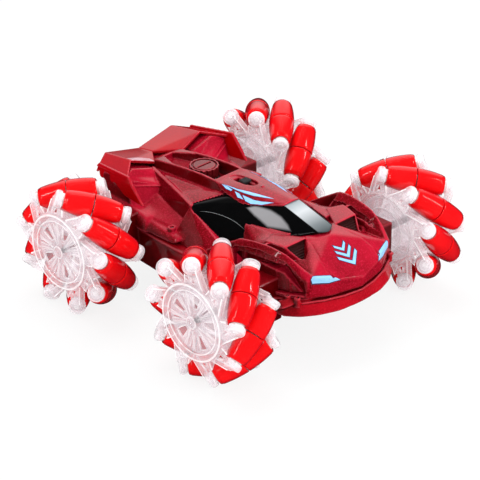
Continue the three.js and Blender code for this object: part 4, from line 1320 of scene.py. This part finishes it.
# ------------------------------------------------------------------ intake plates
def build_intakes():
    """Dark corrugated plates, shallow steps from the two upper corners to the lower one."""
    # the plates' near-black colour is partly painted shade, standing in for the shade inside the
    # intake
    corners = [p - INTAKE_OUT * 1.6 for p in intake_triangle(0.90)]
    strips, step, thickness = 18, 0.7, 1.2
    verts, faces = [], []
    for i in range(strips + 1):
        t = i / strips
        sink = -INTAKE_OUT * (step if i % 2 else 0.0)
        a = corners[0] * (1 - t) + corners[2] * t + sink
        b = corners[1] * (1 - t) + corners[2] * t + sink
        verts += [a, b, a - INTAKE_OUT * thickness, b - INTAKE_OUT * thickness]
    for k in range(0, strips * 4, 4):
        faces += [(k, k + 1, k + 5, k + 4), (k + 2, k + 6, k + 7, k + 3),
                  (k, k + 4, k + 6, k + 2), (k + 1, k + 3, k + 7, k + 5)]
    faces += [(0, 2, 3, 1)]
    for side, suffix in SIDES:
        turned = [f[::-1] for f in faces] if side > 0 else faces
        piece("intake_mesh_" + suffix, np.array(verts) * np.array([side, 1, 1]), turned,
              M_INTAKE_GRILLE_SHADE, "car", "shell_plastic", smooth=False)


build_intakes()


# ------------------------------------------------------------------ cap, switch, battery door
def build_cap():
    """Filler cap with a stem, a notched rim and a slotted top."""
    solid = Solid((-13.2, 26.8, 72.8), (13.2, 53.2, 90.4), cell=0.42)
    solid.post(0, CAP_Y, 79.4, 87.6, 10.9, blend=0.0)
    solid.post(0, CAP_Y, 74.2, 80.2, 6.1)
    solid.post(0, CAP_Y, 86.2, 92, 9.5, "cut", 0.3)
    solid.post(0, CAP_Y, 85.8, 87.4, 8.1, blend=0.3)
    notches, notch_ring = 16, 11.7
    for k in range(notches):
        a = 2 * math.pi * (k + 0.5) / notches
        solid.post(notch_ring * math.cos(a), CAP_Y + notch_ring * math.sin(a), 78, 90, 1.35,
                   "cut", 0.25)

    def slot(x, y, z):
        return smax(smax(np.abs(x) - 6.6, np.abs(y - CAP_Y) - 0.8, 0.3), 86.0 - z, 0.2)

    solid.put((-9, 31, 85), (9, 49, 91), slot, "cut", 0.2)
    piece("filler_cap_fine", *solid.mesh(), M_CAP, "filler_cap", "shell_plastic", "filler_cap")


def build_switch():
    """Ribbed slider on a stem."""
    solid = Solid((-5.2, -7.4, 79.6), (5.2, 2.4, 93.0), cell=0.3)
    solid.box((-3.65, -5.5, 88.7), (3.65, 0.5, 90.6), corner=0.5)
    for y in (-4.6, -3.4, -2.2, -1.0):
        solid.path([(-3.0, y + 0.4, 90.6), (3.0, y + 0.4, 90.6)], 0.45, "add", 0.2)
    solid.box((-1.8, -4.3, 80.6), (1.8, -0.7, 89.2), blend=0.4)
    piece("power_switch_fine", *solid.mesh(), M_SATIN, "power_switch", "black_plastic",
          "power_switch")


def build_door():
    """Battery door: plate, screw boss, grip grooves outside, two ribs and two tabs inside."""
    solid = Solid((-18.4, -28.6, 18.2), (18.4, 32.4, 26.0), cell=0.55)
    solid.box((-16.6, -26.6, 20.0), (16.6, 30.6, 22.1), corner=0.6)
    solid.post(0, DOOR_SCREW_Y, 20.5, 24.4, 4.2)
    solid.post(0, DOOR_SCREW_Y, 18, 22.3, 2.9, "cut", 0.3)
    for k in range(5):
        solid.box((-9, -20 + 3.4 * k, 19.0), (9, -18.9 + 3.4 * k, 20.5), "cut", 0.2, 0.2)
    for y0, y1 in ((8, 9.2), (-14, -12.8)):
        solid.box((-14.6, y0, 21.8), (14.6, y1, 23.2), blend=0.4)
    for x in (-10, 10):
        solid.box((x - 1.6, -26.6, 20.4), (x + 1.6, -24.0, 22.6), blend=0.4)
    piece("battery_door_fine", *solid.mesh(), M_TRAY, "battery_door", "tray_plastic",
          "battery_door")


build_cap()
build_switch()
build_door()


# ------------------------------------------------------------------ screws
def cross_screw(name, at, direction, radius, length, body="car", node=None):
    """Pan head with a cross recess; direction points out of the head."""
    head = fillet([(0, -length), (radius * 0.5, -length), (radius * 0.5, -0.9), (radius, -0.9),
                   (radius * 0.98, -0.3), (radius * 0.8, 0), (radius * 0.62, 0.02)], 0.12)
    verts, faces = lathe(head + [(radius * 0.5, -0.02), (0, -0.02)], 24)
    # sink the middle into a cross
    angle = np.arctan2(verts[:, 1], verts[:, 0])
    central = (verts[:, 2] > -0.1) & (np.hypot(verts[:, 0], verts[:, 1]) < radius * 0.55)
    verts[(np.abs(np.sin(2 * angle)) < 0.5) & central, 2] -= 0.55
    piece(name, place(verts, np.array(at, float), direction), faces, M_STEEL, body,
          "screw_steel", node)


UP, DOWN = (0, 0, 1), (0, 0, -1)


def build_screws():
    cross_screw("battery_door_screw_fine", (0, DOOR_SCREW_Y, 20.5), DOWN, 2.5, 7.0,
                "battery_door", "battery_door_screw")
    for i, (x, y) in enumerate(FLOOR_SCREWS):
        for side, suffix in SIDES:
            cross_screw(f"floor_screw_{i}_{suffix}", (side * x, y, 20.2), DOWN, 1.75, 5.0)
    for wheel, side, end, _, _ in WHEELS:
        for i, (dy, dz) in enumerate(POD_SCREWS):
            cross_screw(f"pod_screw_{wheel}_{i}", (side * 69.4, end * WHEEL_Y + dy, WHEEL_R + dz),
                        (side, 0, 0), 1.35, 3.0)
    for side, suffix in SIDES:
        cross_screw("tier_screw_" + suffix, (side * TIER_SCREW[0], TIER_SCREW[1], 58.3), UP,
                    1.5, 3.0)
        for letter, (x, y, z) in zip("ab", CORNER_SCREWS):
            cross_screw(f"corner_screw_{letter}_{suffix}", (side * x, y, z + 2.8), UP, 1.15, 3.0)


build_screws()

# ------------------------------------------------------------------ CAD nodes still shown
CARRIED = {"battery_pack": M_CELL, "circuit_board": M_BOARD, "speaker": M_SATIN,
           "water_tank": M_TANK}
for wheel in ("fl", "fr", "rl", "rr"):
    CARRIED["gearmotor_" + wheel] = M_GREY
for node_name, material in CARRIED.items():
    carried = frame["nodes"][node_name]
    carried.data.materials.clear()
    carried.data.materials.append(material)
    bevel = carried.modifiers.new("rounded", "BEVEL")
    bevel.width = 0.0004
    bevel.segments = 2
    bevel.limit_method = "ANGLE"
    bevel.angle_limit = math.radians(30)

# ------------------------------------------------------------------ window creases
CREASE_LINE = np.array([(34.6, 8), (31.8, -2.5), (29.8, -12.6), (29.4, -22.4), (29.5, -30.6)])


def build_creases():
    """Thin raised line along each side window, a tapering tube laid on the canopy."""
    canopy = bvh_of(*CANOPY_MESH)
    fit = np.polyfit(CREASE_LINE[:, 1], CREASE_LINE[:, 0], 3)
    around, radius = 8, 0.20
    for side, suffix in SIDES:
        path = []
        for y in np.linspace(8, -31.5, 34):
            start = Vector((side * np.polyval(fit, y), y, 130))
            hit, normal, _, _ = canopy.ray_cast(start, Vector((0, 0, -1)))
            if hit is not None:
                path.append((np.array(hit), np.array(normal)))
        last = len(path) - 1
        verts, faces = [], []
        for i, (point, normal) in enumerate(path):
            ahead = path[min(i + 1, last)][0] - path[max(i - 1, 0)][0]
            ahead = ahead / np.linalg.norm(ahead)
            across = np.cross(normal, ahead)
            across = across / np.linalg.norm(across)
            rise = np.cross(ahead, across)
            taper = radius * math.sin(math.pi * (0.06 + 0.88 * i / last)) ** 0.6
            for k in range(around):
                a = 2 * math.pi * k / around
                verts.append(point + (math.cos(a) * across + math.sin(a) * rise) * taper)
        for i in range(0, last * around, around):
            for k in range(around):
                j = (k + 1) % around
                faces.append((i + k, i + j, i + around + j, i + around + k))
        faces += [tuple(range(around - 1, -1, -1)), tuple(last * around + k for k in range(around))]
        piece("window_crease_" + suffix, np.array(verts), faces, M_CREASE, "car",
              "canopy_plastic")


build_creases()


# ------------------------------------------------------------------ stage, in metres
def build_camera():
    target = (np.array([-7.19, -4.7, 45.0]) + SHIFT) * 0.001
    azimuth, elevation, distance = math.radians(-44.28), math.radians(28.46), 1.70385
    back = Vector((math.sin(azimuth) * math.cos(elevation),
                   -math.cos(azimuth) * math.cos(elevation), math.sin(elevation)))
    camera = bpy.data.cameras.new("camera")
    camera.lens = 176.8995
    camera.sensor_width = 36
    camera.clip_start = 0.05
    camera.clip_end = 50
    obj = link(bpy.data.objects.new("camera", camera))
    obj.location = Vector(target) + back * distance
    obj.rotation_mode = "QUATERNION"
    obj.rotation_quaternion = (-back).to_track_quat("-Z", "Y")
    bpy.context.scene.camera = obj


def build_floor():
    bm = bmesh.new()
    bmesh.ops.create_grid(bm, x_segments=8, y_segments=8, size=6)
    data = bpy.data.meshes.new("floor")
    bm.to_mesh(data)
    bm.free()
    data.materials.append(M_FLOOR)
    floor = link(bpy.data.objects.new("floor", data))
    floor.location = (0, 0, -0.0006)
    floor.visible_glossy = False


def area(name, location, size, size_y, power, mirror=True):
    """Area light aimed at the car; mirror lets glossy surfaces show it."""
    light = bpy.data.lights.new(name, "AREA")
    light.energy = power
    light.shape = "RECTANGLE"
    light.size = size
    light.size_y = size_y
    obj = link(bpy.data.objects.new(name, light))
    obj.visible_glossy = mirror
    obj.location = location
    obj.rotation_mode = "QUATERNION"
    aim = Vector((0, 0, 0.04)) - Vector(location)
    obj.rotation_quaternion = aim.to_track_quat("-Z", "Y")


def build_world():
    """Mirror-like surfaces see one broad soft wall behind the car and a dark studio elsewhere."""
    world = bpy.data.worlds.new("studio")
    world.use_nodes = True
    graph = Graph(world.node_tree)
    rays = graph.node("LightPath").outputs
    wall = Vector((0.62, 0.55, 0.56)).normalized()
    looking = graph.node("TexCoord").outputs["Generated"]
    toward = graph.node("VectorMath", {0: looking, 1: wall}, operation="DOT_PRODUCT")
    glow = graph.node("MapRange", {"From Min": 0.76, "From Max": 0.94, "To Min": 0.015,
                                   "To Max": 0.95, "Value": toward.outputs["Value"]})

    def pick(flag, otherwise, when_set):
        return graph.node("Mix", {0: rays[flag], 2: otherwise, 3: when_set}).outputs[0]

    strength = pick("Is Glossy Ray", 0.86, glow.outputs[0])
    strength = pick("Is Camera Ray", strength, 1.0)
    background = world.node_tree.nodes["Background"]
    graph.feed(background.inputs["Strength"], strength)
    graph.feed(background.inputs["Color"], (1, 1, 1))
    bpy.context.scene.world = world


build_camera()
build_floor()
area("key_top", (0.10, 0.30, 1.0), size=0.9, size_y=0.5, power=7.0, mirror=False)
area("strip_left", (-1.15, 0.15, 0.75), size=0.05, size_y=1.2, power=4.2)
area("strip_front", (0.75, -1.05, 0.95), size=0.05, size_y=1.0, power=3.6)
area("fill_front", (0.35, -1.3, 0.7), size=0.8, size_y=0.5, power=9.0, mirror=False)
build_world()
bpy.context.scene.view_settings.view_transform = "Standard"
bpy.context.scene.view_settings.look = "None"
